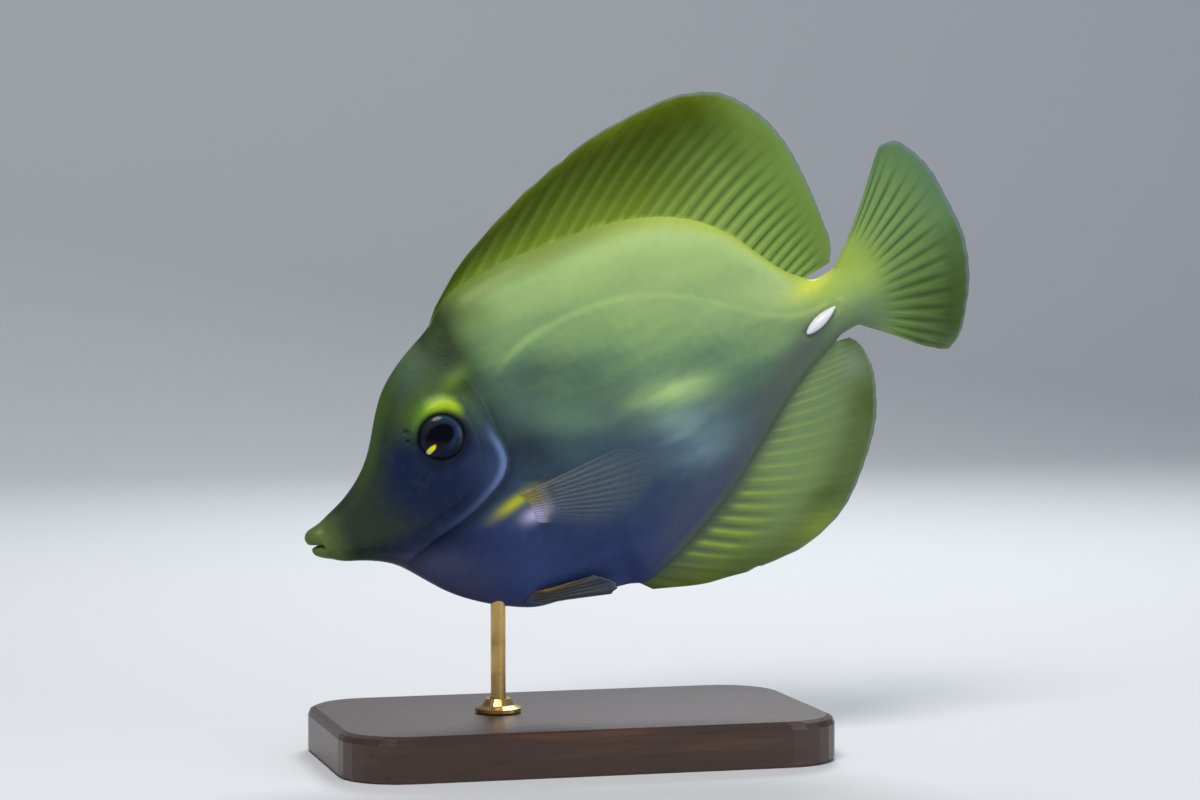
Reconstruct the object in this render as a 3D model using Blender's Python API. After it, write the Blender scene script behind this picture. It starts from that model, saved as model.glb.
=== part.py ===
"""A life-size yellow tang, nose down as it swims, on a plain display stand.

Sizes are in millimetres until a mesh is made, which is in metres. The fish is shaped in its own frame:
+X runs from the lips to the tail, +Z to the back, and -Y is its left side. An empty at the lips tips
that frame nose down. The origin is on the floor, under the middle of the whole object.
"""

import math

import bmesh
import bpy
import numpy as np

MM = 0.001

# Driving sizes of the fish
STANDARD_LENGTH = 120.0  # lips to the end of the tail stalk
PITCH = math.radians(23.0)  # nose down
LIPS_X = -69.4
LIPS_Z = 44.2
GAP = 0.3  # between pieces that touch

# Stations of the body: distance from the lips, back line, belly line, half width, height of the widest
# level, half width of the crest that carries a fin, and how full the flank is (0.5 is an ellipse).
STATIONS = {
    "lip front": (0.0, -0.5, -2.7, 0.9, -1.6, 0.4, 0.50),
    "lip edge": (0.35, 0.7, -3.7, 1.8, -1.6, 0.5, 0.50),
    "lips": (1.6, 2.1, -5.0, 2.5, -1.6, 0.6, 0.50),
    "behind lips": (3.0, 1.95, -5.4, 2.2, -1.8, 0.6, 0.50),
    "snout": (5.0, 2.9, -6.6, 2.9, -1.9, 0.7, 0.50),
    "snout middle": (9.0, 4.4, -8.3, 3.7, -2.0, 0.7, 0.52),
    "snout root": (14.0, 7.4, -11.4, 4.9, -2.0, 0.8, 0.55),
    "under forehead": (18.0, 11.4, -16.4, 5.9, -1.6, 0.9, 0.58),
    "forehead": (21.0, 16.0, -20.3, 6.5, -1.0, 1.0, 0.60),
    "above eye": (25.0, 21.1, -24.1, 7.1, -0.6, 1.0, 0.62),
    "eye": (31.0, 25.3, -28.3, 7.9, -0.4, 1.0, 0.66),
    "nape": (37.5, 28.4, -31.4, 8.4, -1.0, 1.4, 0.70),
    "shoulder": (45.0, 32.8, -32.5, 8.6, -1.8, 1.6, 0.74),
    "belly": (53.0, 34.0, -34.3, 8.5, -2.0, 1.6, 0.78),
    "vent": (59.0, 34.2, -35.2, 8.2, -2.0, 1.6, 0.80),
    "flank": (65.0, 33.9, -33.8, 7.8, -1.5, 1.6, 0.80),
    "mid back": (73.0, 33.5, -30.6, 7.0, -0.6, 1.6, 0.80),
    "rear flank": (82.0, 32.3, -26.2, 6.0, 0.6, 1.6, 0.78),
    "rear back": (91.0, 29.6, -20.5, 4.9, 1.6, 1.5, 0.76),
    "stalk slope": (98.0, 25.5, -15.5, 4.1, 1.8, 1.4, 0.72),
    "stalk shoulder": (103.0, 20.5, -12.3, 3.6, 1.4, 1.4, 0.68),
    "stalk front": (107.0, 14.4, -10.2, 3.2, 0.6, 1.3, 0.62),
    "stalk": (111.0, 8.8, -8.4, 2.9, 0.0, 1.2, 0.56),
    "stalk waist": (115.5, 5.9, -6.8, 2.7, -0.4, 1.1, 0.50),
    "stalk end": (121.5, 6.6, -6.2, 1.9, 0.1, 1.1, 0.50),
}
STALK_X = 107.6  # where the trunk and the tail stalk part
TRUNK_FRONT_X = 11.5

# Edge of the gill cover and nape, from the back to the throat: the head parts from the trunk here
GILL_EDGE = [
    (35.4, 36.0), (36.8, 28.6), (38.4, 22.0), (40.6, 15.5), (41.2, 9.5), (41.0, 5.5), (41.5, 2.5),
    (41.2, -0.2), (39.6, -2.8), (36.2, -5.0), (29.5, -7.7), (21.5, -9.6), (16.0, -12.0), (12.0, -17.0),
]  # fmt: skip
GILL_EDGE_POINTS = 34

# Slant of the mouth: the lower lip stands this far behind the upper one, and the slant dies out here
LIP_SLANT = 0.4
LIP_SLANT_LENGTH = 8.0

EYE_X, EYE_Z = 31.3, 9.1
EYE_RADIUS = 4.4
EYE_DOME = 1.5
EYE_SET_IN = 0.15  # rim of the eye below the skin
EYE_DEPTH = 3.4

MOUTH_Z = -1.6
MOUTH_SLOPE = -0.4
MOUTH_GAPE = 0.5
MOUTH_LENGTH = 4.6
MOUTH_DEPTH = 1.2

NOSTRILS = [(25.5, 12.4, 0.62), (25.0, 10.7, 0.42)]
NOSTRIL_DEPTH = 0.8

# Fins: number of spines and rays, and where the margin lies for a ray that starts at each base x
DORSAL = {
    "rays": 29, "spines": 5, "base": (38.8, 113.2), "crowding": 0.5,
    "margin": [
        (38.8, 41.4, 32.1), (41.6, 48.0, 37.1), (46.0, 57.8, 42.1), (54.0, 72.0, 47.5), (63.0, 87.5, 51.0),
        (72.0, 100.6, 51.7), (80.0, 110.3, 49.4), (91.0, 117.8, 41.6), (96.0, 119.9, 37.0),
        (101.3, 121.5, 30.0), (107.0, 122.2, 20.0), (110.6, 122.2, 13.6), (112.2, 121.5, 10.2),
        (113.2, 120.2, 7.9),
    ],
}  # fmt: skip
ANAL = {
    "rays": 23, "spines": 3, "base": (57.6, 113.8), "crowding": 0.2,
    "margin": [
        (57.6, 60.2, -38.0), (60.5, 70.0, -41.4), (64.5, 80.2, -43.1), (70.0, 90.4, -43.5),
        (75.5, 100.4, -41.2), (86.0, 112.0, -31.8), (93.0, 117.8, -23.4), (100.0, 120.3, -15.2),
        (107.0, 120.2, -11.6), (111.5, 119.4, -9.2), (113.8, 118.2, -7.9),
    ],
}  # fmt: skip
TAIL_RAYS = 17
TAIL_MARGIN = [
    (0.00, 139.4, 25.7), (0.08, 142.2, 25.5), (0.20, 145.8, 21.2), (0.36, 148.3, 13.2),
    (0.52, 149.1, 3.8), (0.68, 147.4, -6.2), (0.82, 144.4, -15.2), (0.94, 142.3, -22.5),
    (1.00, 141.2, -25.2),
]  # fmt: skip
TAIL_CURL = 0.048  # per mm, of the lower lobe away from the left side
TAIL_CURL_FROM_Z = -2.0
TAIL_CURL_RUN = 16.0
FIN_WAVE = 1.3  # sideways sway of the soft margins

PECTORAL = {
    "rays": 14, "upper": (41.6, -7.6), "lower": (42.6, -14.0), "angles": (5.0, -27.0),
    "lengths": (23.0, 29.5, 14.0), "longest": 0.22, "stand_off": 33.0, "curve": 0.28, "root": 0.95,
}  # fmt: skip
PELVIC = {
    "rays": 6, "upper": (37.4, -27.6), "lower": (35.6, -29.4), "angles": (-8.0, -17.5),
    "lengths": (12.0, 17.5, 16.5), "longest": 0.75, "stand_off": 8.0, "curve": 0.5, "root": 0.6,
}  # fmt: skip

# Half thickness of the fins
MEMBRANE = 0.27
RIDGE = 0.22  # of a ray above the membrane, near its root
BASE_HALF = 1.05
TAIL_BASE_HALF = 1.2
COLUMNS_PER_RAY = 3
RAY_BOW = 0.03  # how far rays bow forwards amid the back and belly fins, in shares of their length
SPINE_NOTCH = 0.03  # how far the margin falls back between two spines, in shares of their length
RAY_NOTCH = 0.006
TAIL_SWING = 0.9  # how far the tail's outer rays bow, which hollows the fan's two edges
FIN_ROWS = (0.0, 0.07, 0.2, 0.38, 0.58, 0.78, 0.92, 1.0)

# The lancet on each side of the tail stalk
LANCET_FRONT = (109.2, -3.1)
LANCET_REAR = (117.0, -0.4)
LANCET_HALF_HEIGHT = 1.15
LANCET_THICK = 1.0

# Display stand
BASE_LENGTH, BASE_WIDTH, BASE_HEIGHT = 100.0, 56.0, 9.0
BASE_X = -16.6
BASE_CORNER = 12.0
BASE_BEVEL = 1.6
ROD_X = -31.2
ROD_RADIUS = 1.5
ROD_FOOT_DEPTH = 5.0
ROD_TOP_Z = 38.0
COLLAR_RADIUS = 4.6
COLLAR_HEIGHT = 2.6

LEFT, RIGHT = -1.0, 1.0


def smooth(at, xs, ys):
    """Values at the points at, on a curve through (xs, ys) that never overshoots between them."""
    at, xs, ys = (np.asarray(v, float) for v in (at, xs, ys))
    step = np.diff(xs)
    slope = np.diff(ys) / step
    tangent = np.empty_like(ys)
    tangent[0], tangent[-1] = slope[0], slope[-1]
    before, after = slope[:-1], slope[1:]
    same_way = before * after > 0
    weight_before, weight_after = 2 * step[1:] + step[:-1], step[1:] + 2 * step[:-1]
    safe_before, safe_after = np.where(same_way, before, 1), np.where(same_way, after, 1)
    mean = (weight_before + weight_after) / (weight_before / safe_before + weight_after / safe_after)
    tangent[1:-1] = np.where(same_way, mean, 0)
    span = np.clip(np.searchsorted(xs, at) - 1, 0, len(xs) - 2)
    width = step[span]
    t = np.clip((at - xs[span]) / width, 0, 1)
    start = ys[span] * (1 + 2 * t) * (1 - t) ** 2 + tangent[span] * width * t * (1 - t) ** 2
    end = ys[span + 1] * t**2 * (3 - 2 * t) - tangent[span + 1] * width * t**2 * (1 - t)
    return start + end


def smooth_path(points, count):
    """A smooth path of count points through the given ones, evenly spaced by their spacing."""
    points = np.array(points, float)
    along = np.concatenate([[0], np.cumsum(np.hypot(*np.diff(points, axis=0).T))])
    at = np.linspace(0, along[-1], count)
    return np.column_stack([smooth(at, along, points[:, 0]), smooth(at, along, points[:, 1])])


def section(x):
    """Back line, belly line, half width, widest level, crest and fullness of the body at x."""
    table = np.array(list(STATIONS.values()))
    return [smooth(x, table[:, 0], table[:, i]) for i in range(1, table.shape[1])]


def half_width(x, z):
    """Half width of the body at x and z, before any relief."""
    back, belly, width, level, crest, fullness = section(x)
    reach = np.where(z > level, back - level, level - belly)
    share = np.clip(np.abs(z - level) / reach, 0, 1)
    return crest + (width - crest) * (1 - share**2) ** fullness


def bump(distance, height, spread):
    return height * np.exp(-((distance / spread) ** 2))


def distance_to_path(x, z, path):
    """Shortest distance from each (x, z) to a path of straight pieces."""
    nearest = np.full(np.shape(x), 1e9)
    for (ax, az), (bx, bz) in zip(path[:-1], path[1:]):
        length = (bx - ax) ** 2 + (bz - az) ** 2
        t = np.clip(((x - ax) * (bx - ax) + (z - az) * (bz - az)) / length, 0, 1)
        nearest = np.minimum(nearest, np.hypot(x - ax - t * (bx - ax), z - az - t * (bz - az)))
    return nearest


def head_relief(x, z):
    """How far the head stands out from the plain body: gill cover, cheek, orbit, brow and nose groove."""
    gill = smooth_path(GILL_EDGE, GILL_EDGE_POINTS)
    cover = bump(distance_to_path(x, z, gill), 0.55, 3.2) * (z < 13)
    cheek = bump(np.hypot((x - 33.5) / 7, (z + 0.5) / 6), 0.45, 1)
    from_eye = np.hypot(x - EYE_X, z - EYE_Z)
    orbit = bump(from_eye - EYE_RADIUS - 0.9, 0.4, 1.1)
    brow = bump(np.hypot((x - 32.6) / 4.6, (z - 15.6) / 1.9), 0.75, 1)
    temple = bump(np.hypot((x - 38.4) / 2.6, (z - 17.6) / 1.8), 0.45, 1)
    groove = bump(distance_to_path(x, z, [(25.5, 5.4), (21.5, 2.6), (16.5, -0.6)]), 0.4, 1.2)
    cheek_groove = bump(distance_to_path(x, z, [(37.4, 7.0), (37.0, 1.0), (33.0, -3.6)]), 0.3, 1.0)
    return cover + cheek + orbit + brow + temple - groove - cheek_groove


def trunk_relief(x, z):
    """The trunk sinks a little just behind the gill cover."""
    gill = smooth_path(GILL_EDGE, GILL_EDGE_POINTS)
    return -bump(distance_to_path(x, z, gill), 0.45, 2.4) * (z < 13)


def mesh_object(name, points, faces, material):
    """An object from points in millimetres, its faces turned outwards."""
    mesh = bpy.data.meshes.new(name)
    mesh.from_pydata([tuple(p) for p in np.asarray(points) * MM], [], [tuple(f) for f in faces])
    shell = bmesh.new()
    shell.from_mesh(mesh)
    bmesh.ops.recalc_face_normals(shell, faces=shell.faces)
    shell.to_mesh(mesh)
    shell.free()
    mesh.shade_smooth()
    mesh.set_sharp_from_angle(angle=math.radians(40))
    obj = bpy.data.objects.new(name, mesh)
    bpy.context.scene.collection.objects.link(obj)
    if material:
        mesh.materials.append(material)
    return obj


def loft(name, xs, side_steps, relief, material, grow=0.0):
    """The body between the first and last x, as rings of two sides joined by the crests."""
    xs = np.asarray(xs, float)
    back, belly, width, level, crest, fullness = (v[:, None] for v in section(xs))
    turn = np.linspace(0, math.pi, side_steps + 1)[None, :]
    reach = np.where(np.cos(turn) > 0, back - level, level - belly)
    z = level + (reach + grow) * np.cos(turn)
    out = crest + (width - crest) * np.maximum(np.sin(turn), 0) ** (2 * fullness)
    x = xs[:, None] + 0 * z
    out = out + relief(x, z) * np.clip(1.5 * np.sin(turn), 0, 1) + grow
    slant = LIP_SLANT * np.clip(1 - x / LIP_SLANT_LENGTH, 0, 1) ** 2
    x = x + slant * (back - z) / (back - belly)
    sides = [np.stack([x, side * out, z], axis=2) for side in (LEFT, RIGHT)]
    points = np.concatenate(sides, axis=1).reshape(-1, 3)
    side_points = side_steps + 1
    ring = 2 * side_points

    def at(k, right, j):
        return k * ring + right * side_points + j

    faces = []
    for k in range(len(xs) - 1):
        for right in (0, 1):
            faces += [
                (at(k, right, j), at(k, right, j + 1), at(k + 1, right, j + 1), at(k + 1, right, j))
                for j in range(side_steps)
            ]
        for j in (0, side_steps):
            faces.append((at(k, 0, j), at(k, 1, j), at(k + 1, 1, j), at(k + 1, 0, j)))
    for k in (0, len(xs) - 1):
        faces += [(at(k, 0, j), at(k, 0, j + 1), at(k, 1, j + 1), at(k, 1, j)) for j in range(side_steps)]
    return mesh_object(name, points, faces, material)


def prism(name, outline, half_depth):
    """A cutter: an outline in the side view, run across the fish."""
    count = len(outline)
    points = [(x, side * half_depth, z) for side in (LEFT, RIGHT) for x, z in outline]
    faces = [tuple(range(count)), tuple(range(2 * count - 1, count - 1, -1))]
    faces += [(i, (i + 1) % count, count + (i + 1) % count, count + i) for i in range(count)]
    return mesh_object(name, points, faces, None)


def cut(target, tool, operation="DIFFERENCE"):
    """Applies a Boolean with the tool, which is then removed, and keeps the largest body."""
    modifier = target.modifiers.new("cut", "BOOLEAN")
    modifier.object = tool
    modifier.operation = operation
    modifier.solver = "EXACT"
    bpy.context.view_layer.update()
    result = bpy.data.meshes.new_from_object(target.evaluated_get(bpy.context.evaluated_depsgraph_get()))
    target.modifiers.clear()
    target.data = result
    bpy.data.objects.remove(tool)
    keep_largest(target)


def keep_largest(target):
    """Drops every loose scrap but the piece with the most faces."""
    shell = bmesh.new()
    shell.from_mesh(target.data)
    left = set(shell.verts)
    pieces = []
    while left:
        piece, front = set(), [left.pop()]
        while front:
            vertex = front.pop()
            piece.add(vertex)
            near = {edge.other_vert(vertex) for edge in vertex.link_edges} & left
            left -= near
            front += near
        pieces.append(piece)
    pieces.sort(key=len)
    for piece in pieces[:-1]:
        bmesh.ops.delete(shell, geom=list(piece), context="VERTS")
    shell.to_mesh(target.data)
    shell.free()


def plate(name, middle, half, material):
    """A closed fin: its middle surface as a grid of columns and rows, and the half thickness there.

    Both faces are split into triangles alike, so that they can't cross.
    """
    along_columns = np.gradient(middle, axis=0)
    along_rows = np.gradient(middle, axis=1)
    normal = np.cross(along_columns, along_rows)
    normal /= np.linalg.norm(normal, axis=2, keepdims=True)
    normal[:, 0] = (0, np.sign(normal[:, 0, 1].mean()), 0)
    faces_of = [middle - normal * half[:, :, None], middle + normal * half[:, :, None]]
    return plate_from_faces(name, faces_of, material)


def plate_from_faces(name, faces_of, material):
    """A closed fin from its two faces, as grids of points."""
    columns, rows = faces_of[0].shape[:2]
    points = np.concatenate([f.reshape(-1, 3) for f in faces_of])
    half_count = columns * rows

    def at(side, i, j):
        return side * half_count + i * rows + j

    faces = []
    for i in range(columns - 1):
        for j in range(rows - 1):
            for side in (0, 1):
                a, b, c, d = at(side, i, j), at(side, i + 1, j), at(side, i + 1, j + 1), at(side, i, j + 1)
                faces += [(a, b, c), (a, c, d)]
    border = [(i, 0) for i in range(columns)] + [(columns - 1, j) for j in range(1, rows)]
    border += [(i, rows - 1) for i in range(columns - 2, -1, -1)] + [(0, j) for j in range(rows - 2, 0, -1)]
    for (i, j), (m, n) in zip(border, border[1:] + border[:1]):
        faces += [(at(0, i, j), at(0, m, n), at(1, m, n)), (at(0, i, j), at(1, m, n), at(1, i, j))]
    return mesh_object(name, points, faces, material)


def columns_for(rays):
    """The ray number of each column of a fin, whole on a ray's crest."""
    return np.linspace(0, rays - 1, (rays - 1) * COLUMNS_PER_RAY + 1)


def on_rays(numbers):
    """True for the columns that run along a ray."""
    return np.abs(numbers - np.round(numbers)) < 0.5 / COLUMNS_PER_RAY


def ray_profile(numbers, base_half, ridge):
    """Half thickness of a fin: thick at the root, a membrane with a ridge on each ray further out."""
    t = np.array(FIN_ROWS)[None, :]
    membrane = MEMBRANE + (base_half - MEMBRANE) * np.exp(-t / 0.13)
    fade = np.clip(t / 0.1, 0, 1) * (1 - 0.65 * t)
    return membrane + on_rays(numbers)[:, None] * ridge * fade


def median_fin(name, fin, ridge, crest_side, material):
    """A fin along the back (crest_side 1) or belly (-1): rays from the crest to the margin, closer to the tail."""
    rays, spines = fin["rays"], fin["spines"]
    numbers = columns_for(rays)
    table = np.array(fin["margin"])
    line = 0 if crest_side > 0 else 1
    fine = np.linspace(*fin["base"], 400)
    along = np.concatenate([[0], np.cumsum(np.hypot(np.diff(fine), np.diff(section(fine)[line])))])
    share = numbers / (rays - 1)
    base_x = np.interp(share * (1 + fin["crowding"] * (1 - share)) * along[-1], along, fine)
    base_z = section(base_x)[line]
    slope = (section(base_x + 0.1)[line] - section(base_x - 0.1)[line]) / 0.2
    lean = np.hypot(slope, 1)
    root = np.column_stack([base_x - crest_side * GAP * slope / lean, base_z + crest_side * GAP / lean])
    tip = np.column_stack([smooth(base_x, table[:, 0], table[:, i]) for i in (1, 2)])
    scallop = np.where(numbers < spines, SPINE_NOTCH, RAY_NOTCH) * ~on_rays(numbers)
    tip -= (tip - root) * scallop[:, None]
    t = np.array(FIN_ROWS)
    forward = crest_side * np.column_stack([root[:, 1] - tip[:, 1], tip[:, 0] - root[:, 0]])
    side = root[:, None] + (tip - root)[:, None] * t[None, :, None]
    bowed = smooth(numbers, [0, spines + 4, rays - 7, rays - 1], [0.0, RAY_BOW, RAY_BOW, 0.0])
    side += (bowed[:, None] * forward)[:, None] * np.sin(math.pi * t)[None, :, None]
    length = np.linalg.norm(tip - root, axis=1)
    soft = smooth(numbers, [0, spines, rays - 1], [0.0, 0.15, 1.0]) * length / length.max()
    sway = FIN_WAVE * np.outer(soft * np.sin(2.2 * math.pi * numbers / (rays - 1) + 0.6), t**1.6)
    middle = np.stack([side[:, :, 0], sway, side[:, :, 1]], axis=2)
    return plate(name, middle, ray_profile(numbers, BASE_HALF, ridge), material)


def tail_fin(material, ridge):
    """The fan of the tail on the end of the stalk, with the lower lobe curled to the right."""
    numbers = columns_for(TAIL_RAYS)
    s = numbers / (TAIL_RAYS - 1)
    stalk_x = STANDARD_LENGTH + 1.5
    back, belly = section(stalk_x)[:2]
    inset = 0.2
    root = np.column_stack([np.full_like(s, stalk_x + GAP), back - inset - s * (back - belly - 2 * inset)])
    table = np.array(TAIL_MARGIN)
    tip = np.column_stack([smooth(s, table[:, 0], table[:, i]) for i in (1, 2)])
    tip -= (tip - root) * np.where(on_rays(numbers), 0, RAY_NOTCH)[:, None]
    t = np.array(FIN_ROWS)
    side = root[:, None] + (tip - root)[:, None] * t[None, :, None]
    outermost = np.abs(2 * s - 1) ** 2 * np.sign(0.5 - s)
    side[:, :, 1] -= TAIL_SWING * np.outer(outermost, np.sin(math.pi * np.clip(t * 1.15, 0, 1)))
    sideways, height = curl(side)
    middle = np.stack([side[:, :, 0], sideways, height], axis=2)
    return plate("tail_fin", middle, ray_profile(numbers, TAIL_BASE_HALF, ridge), material)


def curl(side):
    """Sideways place and height of the tail fin's points once the lower lobe is curled."""
    x, z = side[:, :, 0], side[:, :, 1]
    run = np.clip((x - STANDARD_LENGTH - 1.5) / TAIL_CURL_RUN, 0, 1)
    bend = TAIL_CURL * run * run * (3 - 2 * run) + 1e-6
    below = np.clip(TAIL_CURL_FROM_Z - z, 0, None)
    return (1 - np.cos(bend * below)) / bend, z + below - np.sin(bend * below) / bend


def paired_fin(name, fin, side, material, ridge):
    """A pectoral or pelvic fin, its root laid on the body's side with the usual gap."""
    numbers = columns_for(fin["rays"])
    s = numbers / (fin["rays"] - 1)
    root_x = fin["upper"][0] + s * (fin["lower"][0] - fin["upper"][0])
    root_z = fin["upper"][1] + s * (fin["lower"][1] - fin["upper"][1])
    angle = np.radians(fin["angles"][0] + s * (fin["angles"][1] - fin["angles"][0]))
    length = smooth(s, [0, fin["longest"], 1], fin["lengths"])
    length = length * np.where(on_rays(numbers), 1, 1 - RAY_NOTCH)
    off = math.radians(fin["stand_off"])
    t = np.array(FIN_ROWS)[None, :]
    run = length[:, None] * t
    x = root_x[:, None] + run * np.cos(angle)[:, None] * math.cos(off)
    z = root_z[:, None] + run * np.sin(angle)[:, None]
    half = ray_profile(numbers, fin["root"], ridge)
    out = half_width(root_x, root_z)[:, None] + GAP + run * math.sin(off) * (1 - fin["curve"] * t)
    clear = half_width(x, z) + GAP + half.max(axis=0) + 0.5 * np.clip(t / 0.2, 0, 1)
    middle = np.stack([x, side * np.maximum(out, clear), z], axis=2)
    normal = np.cross(np.gradient(middle, axis=0), np.gradient(middle, axis=1))
    normal *= np.sign(side * normal[:, :, 1:2]) / np.linalg.norm(normal, axis=2, keepdims=True)
    faces_of = []
    for outward in (-1, 1):
        face = middle + outward * normal * half[:, :, None]
        foot = fin["root"] * (1 if outward > 0 else -0.3)
        foot_x = root_x - foot * np.cos(angle)
        foot_z = root_z - foot * np.sin(angle)
        face[:, 0] = np.column_stack([foot_x, side * (half_width(foot_x, foot_z) + GAP), foot_z])
        faces_of.append(face)
    return plate_from_faces(name, faces_of, material)


def eye_axes(side):
    """Centre of the eye's rim, and the axes along and across it, from the lie of the skin there."""
    step = 0.5
    along_x = (half_width(EYE_X + step, EYE_Z) - half_width(EYE_X - step, EYE_Z)) / (2 * step)
    along_z = (half_width(EYE_X, EYE_Z + step) - half_width(EYE_X, EYE_Z - step)) / (2 * step)
    outward = np.array([-along_x, side, -along_z])
    outward /= np.linalg.norm(outward)
    first = np.cross(outward, [0, 0, 1.0])
    first /= np.linalg.norm(first)
    second = np.cross(outward, first)
    rim = np.array([EYE_X, side * half_width(EYE_X, EYE_Z), EYE_Z]) - outward * EYE_SET_IN
    return rim, outward, first, second


def turned(name, axes, profile, segments, material):
    """A solid turned about an axis from a profile of (distance along the axis, radius)."""
    centre, outward, first, second = axes
    turn = np.linspace(0, 2 * math.pi, segments, endpoint=False)
    points = [centre + outward * profile[0][0]]
    for height, radius in profile[1:-1]:
        ring = np.outer(np.cos(turn), first) + np.outer(np.sin(turn), second)
        points += list(centre + outward * height + ring * radius)
    points.append(centre + outward * profile[-1][0])
    rings = len(profile) - 2
    faces = [(0, 1 + i, 1 + (i + 1) % segments) for i in range(segments)]
    for k in range(rings - 1):
        a, b = 1 + k * segments, 1 + (k + 1) * segments
        faces += [(a + i, a + (i + 1) % segments, b + (i + 1) % segments, b + i) for i in range(segments)]
    last, top = 1 + (rings - 1) * segments, len(points) - 1
    faces += [(last + (i + 1) % segments, last + i, top) for i in range(segments)]
    return mesh_object(name, points, faces, material)


def eye(name, side, material, grow=0.0):
    """An eye as a short drum with a domed front. grow makes the cutter for its socket."""
    radius = EYE_RADIUS + grow
    turn = np.linspace(0, math.pi / 2, 6)
    dome = [(EYE_DOME * math.sin(a) + grow, radius * math.cos(a)) for a in turn[1:-1]]
    profile = [(-EYE_DEPTH - grow, 0), (-EYE_DEPTH - grow, radius * 0.8), (0, radius)] + dome
    profile.append((EYE_DOME + grow, 0))
    return turned(name, eye_axes(side), profile, 24, material)


def mouth_cutter():
    """A thin U-shaped slit round the front of the snout, which parts the lips."""
    outer, inner = 8.0, []
    for turn in np.linspace(-math.pi / 2, math.pi / 2, 11):
        reach = MOUTH_LENGTH + 1.0 - MOUTH_DEPTH - 0.9
        inner.append((MOUTH_LENGTH + 1.0 - reach * math.cos(turn), 1.35 * math.sin(turn)))
    end = MOUTH_LENGTH + 1.0
    outline = [(end, -outer), (-outer, -outer), (-outer, outer), (end, outer)] + inner[::-1]
    count = len(outline)
    points = []
    for sign in (-1, 1):
        for x, y in outline:
            open_share = np.clip(1 - x / end, 0.1, 1)
            middle = MOUTH_Z + MOUTH_SLOPE * x
            points.append((x, y, middle + sign * MOUTH_GAPE / 2 * open_share))
    faces = [tuple(range(count)), tuple(range(2 * count - 1, count - 1, -1))]
    faces += [(i, (i + 1) % count, count + (i + 1) % count, count + i) for i in range(count)]
    return mesh_object("mouth_cutter", points, faces, None)


def nostril_cutter(x, z, radius, side):
    """A short pit cut square into the side of the snout."""
    skin = half_width(x, z) + head_relief(np.array(x), np.array(z))
    centre = np.array([x, side * skin, z])
    axes = (centre, np.array([0, side, 0]), np.array([1.0, 0, 0]), np.array([0, 0, 1.0]))
    profile = [(-NOSTRIL_DEPTH, 0), (-NOSTRIL_DEPTH, radius * 0.6), (2.0, radius * 1.2), (2.0, 0)]
    return turned("nostril_cutter", axes, profile, 8, None)


def gill_region(beyond):
    """Outline of everything before the gill edge, pushed back by beyond."""
    path = smooth_path(GILL_EDGE, GILL_EDGE_POINTS)
    direction = np.gradient(path, axis=0)
    direction /= np.hypot(*direction.T)[:, None]
    pushed = path + beyond * np.column_stack([-direction[:, 1], direction[:, 0]])
    return [tuple(p) for p in pushed] + [(-12.0, -40.0), (-12.0, 46.0)]


def head(skin):
    """The head: snout, lips, forehead, cheeks and gill covers, with sockets, mouth and nostrils."""
    lips = [0.0, 0.35, 0.9, 1.6, 2.2, 2.8, 3.8, 5.2]
    xs = np.concatenate([lips, np.linspace(6.8, 43.5, 26)])
    obj = loft("head", xs, 22, head_relief, skin)
    cut(obj, prism("gill_cutter", gill_region(0.0), 14.0), "INTERSECT")
    for side in (LEFT, RIGHT):
        cut(obj, eye("socket_cutter", side, None, GAP))
        for x, z, radius in NOSTRILS:
            cut(obj, nostril_cutter(x, z, radius, side))
    cut(obj, mouth_cutter())
    return obj


def trunk(skin):
    """The trunk from the throat and gill edge to the tail stalk."""
    xs = np.concatenate([np.linspace(TRUNK_FRONT_X, 46, 15), np.linspace(49.5, STALK_X, 17)])
    obj = loft("trunk", xs, 14, trunk_relief, skin)
    cut(obj, prism("gill_cutter", gill_region(GAP), 14.0))
    return obj


def tail_stalk(skin):
    """The stalk between the trunk and the tail fin."""
    xs = np.linspace(STALK_X + GAP, STANDARD_LENGTH + 1.5, 8)
    return loft("tail_stalk", xs, 12, lambda x, z: 0 * z, skin)


def lancet(name, side, material):
    """The folded blade on the side of the tail stalk, laid on the skin with the usual gap."""
    along, across = 11, 5
    u = np.linspace(0, 1, along)[:, None]
    v = np.linspace(-1, 1, across)[None, :]
    (fx, fz), (rx, rz) = LANCET_FRONT, LANCET_REAR
    length = math.hypot(rx - fx, rz - fz)
    ux, uz = (rx - fx) / length, (rz - fz) / length
    height = LANCET_HALF_HEIGHT * np.sin(math.pi * np.clip(u * 0.94 + 0.03, 0, 1)) ** 0.75
    x = fx + (rx - fx) * u - uz * height * v
    z = fz + (rz - fz) * u + ux * height * v
    skin = half_width(x, z) + GAP
    rise = 0.22 + (LANCET_THICK - 0.22) * np.sin(math.pi * u) * (1 - v**2)
    inner = np.stack([x, side * skin, z], axis=2)
    outer = np.stack([x, side * (skin + rise), z], axis=2)
    return plate_from_faces(name, [inner, outer], material)


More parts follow.
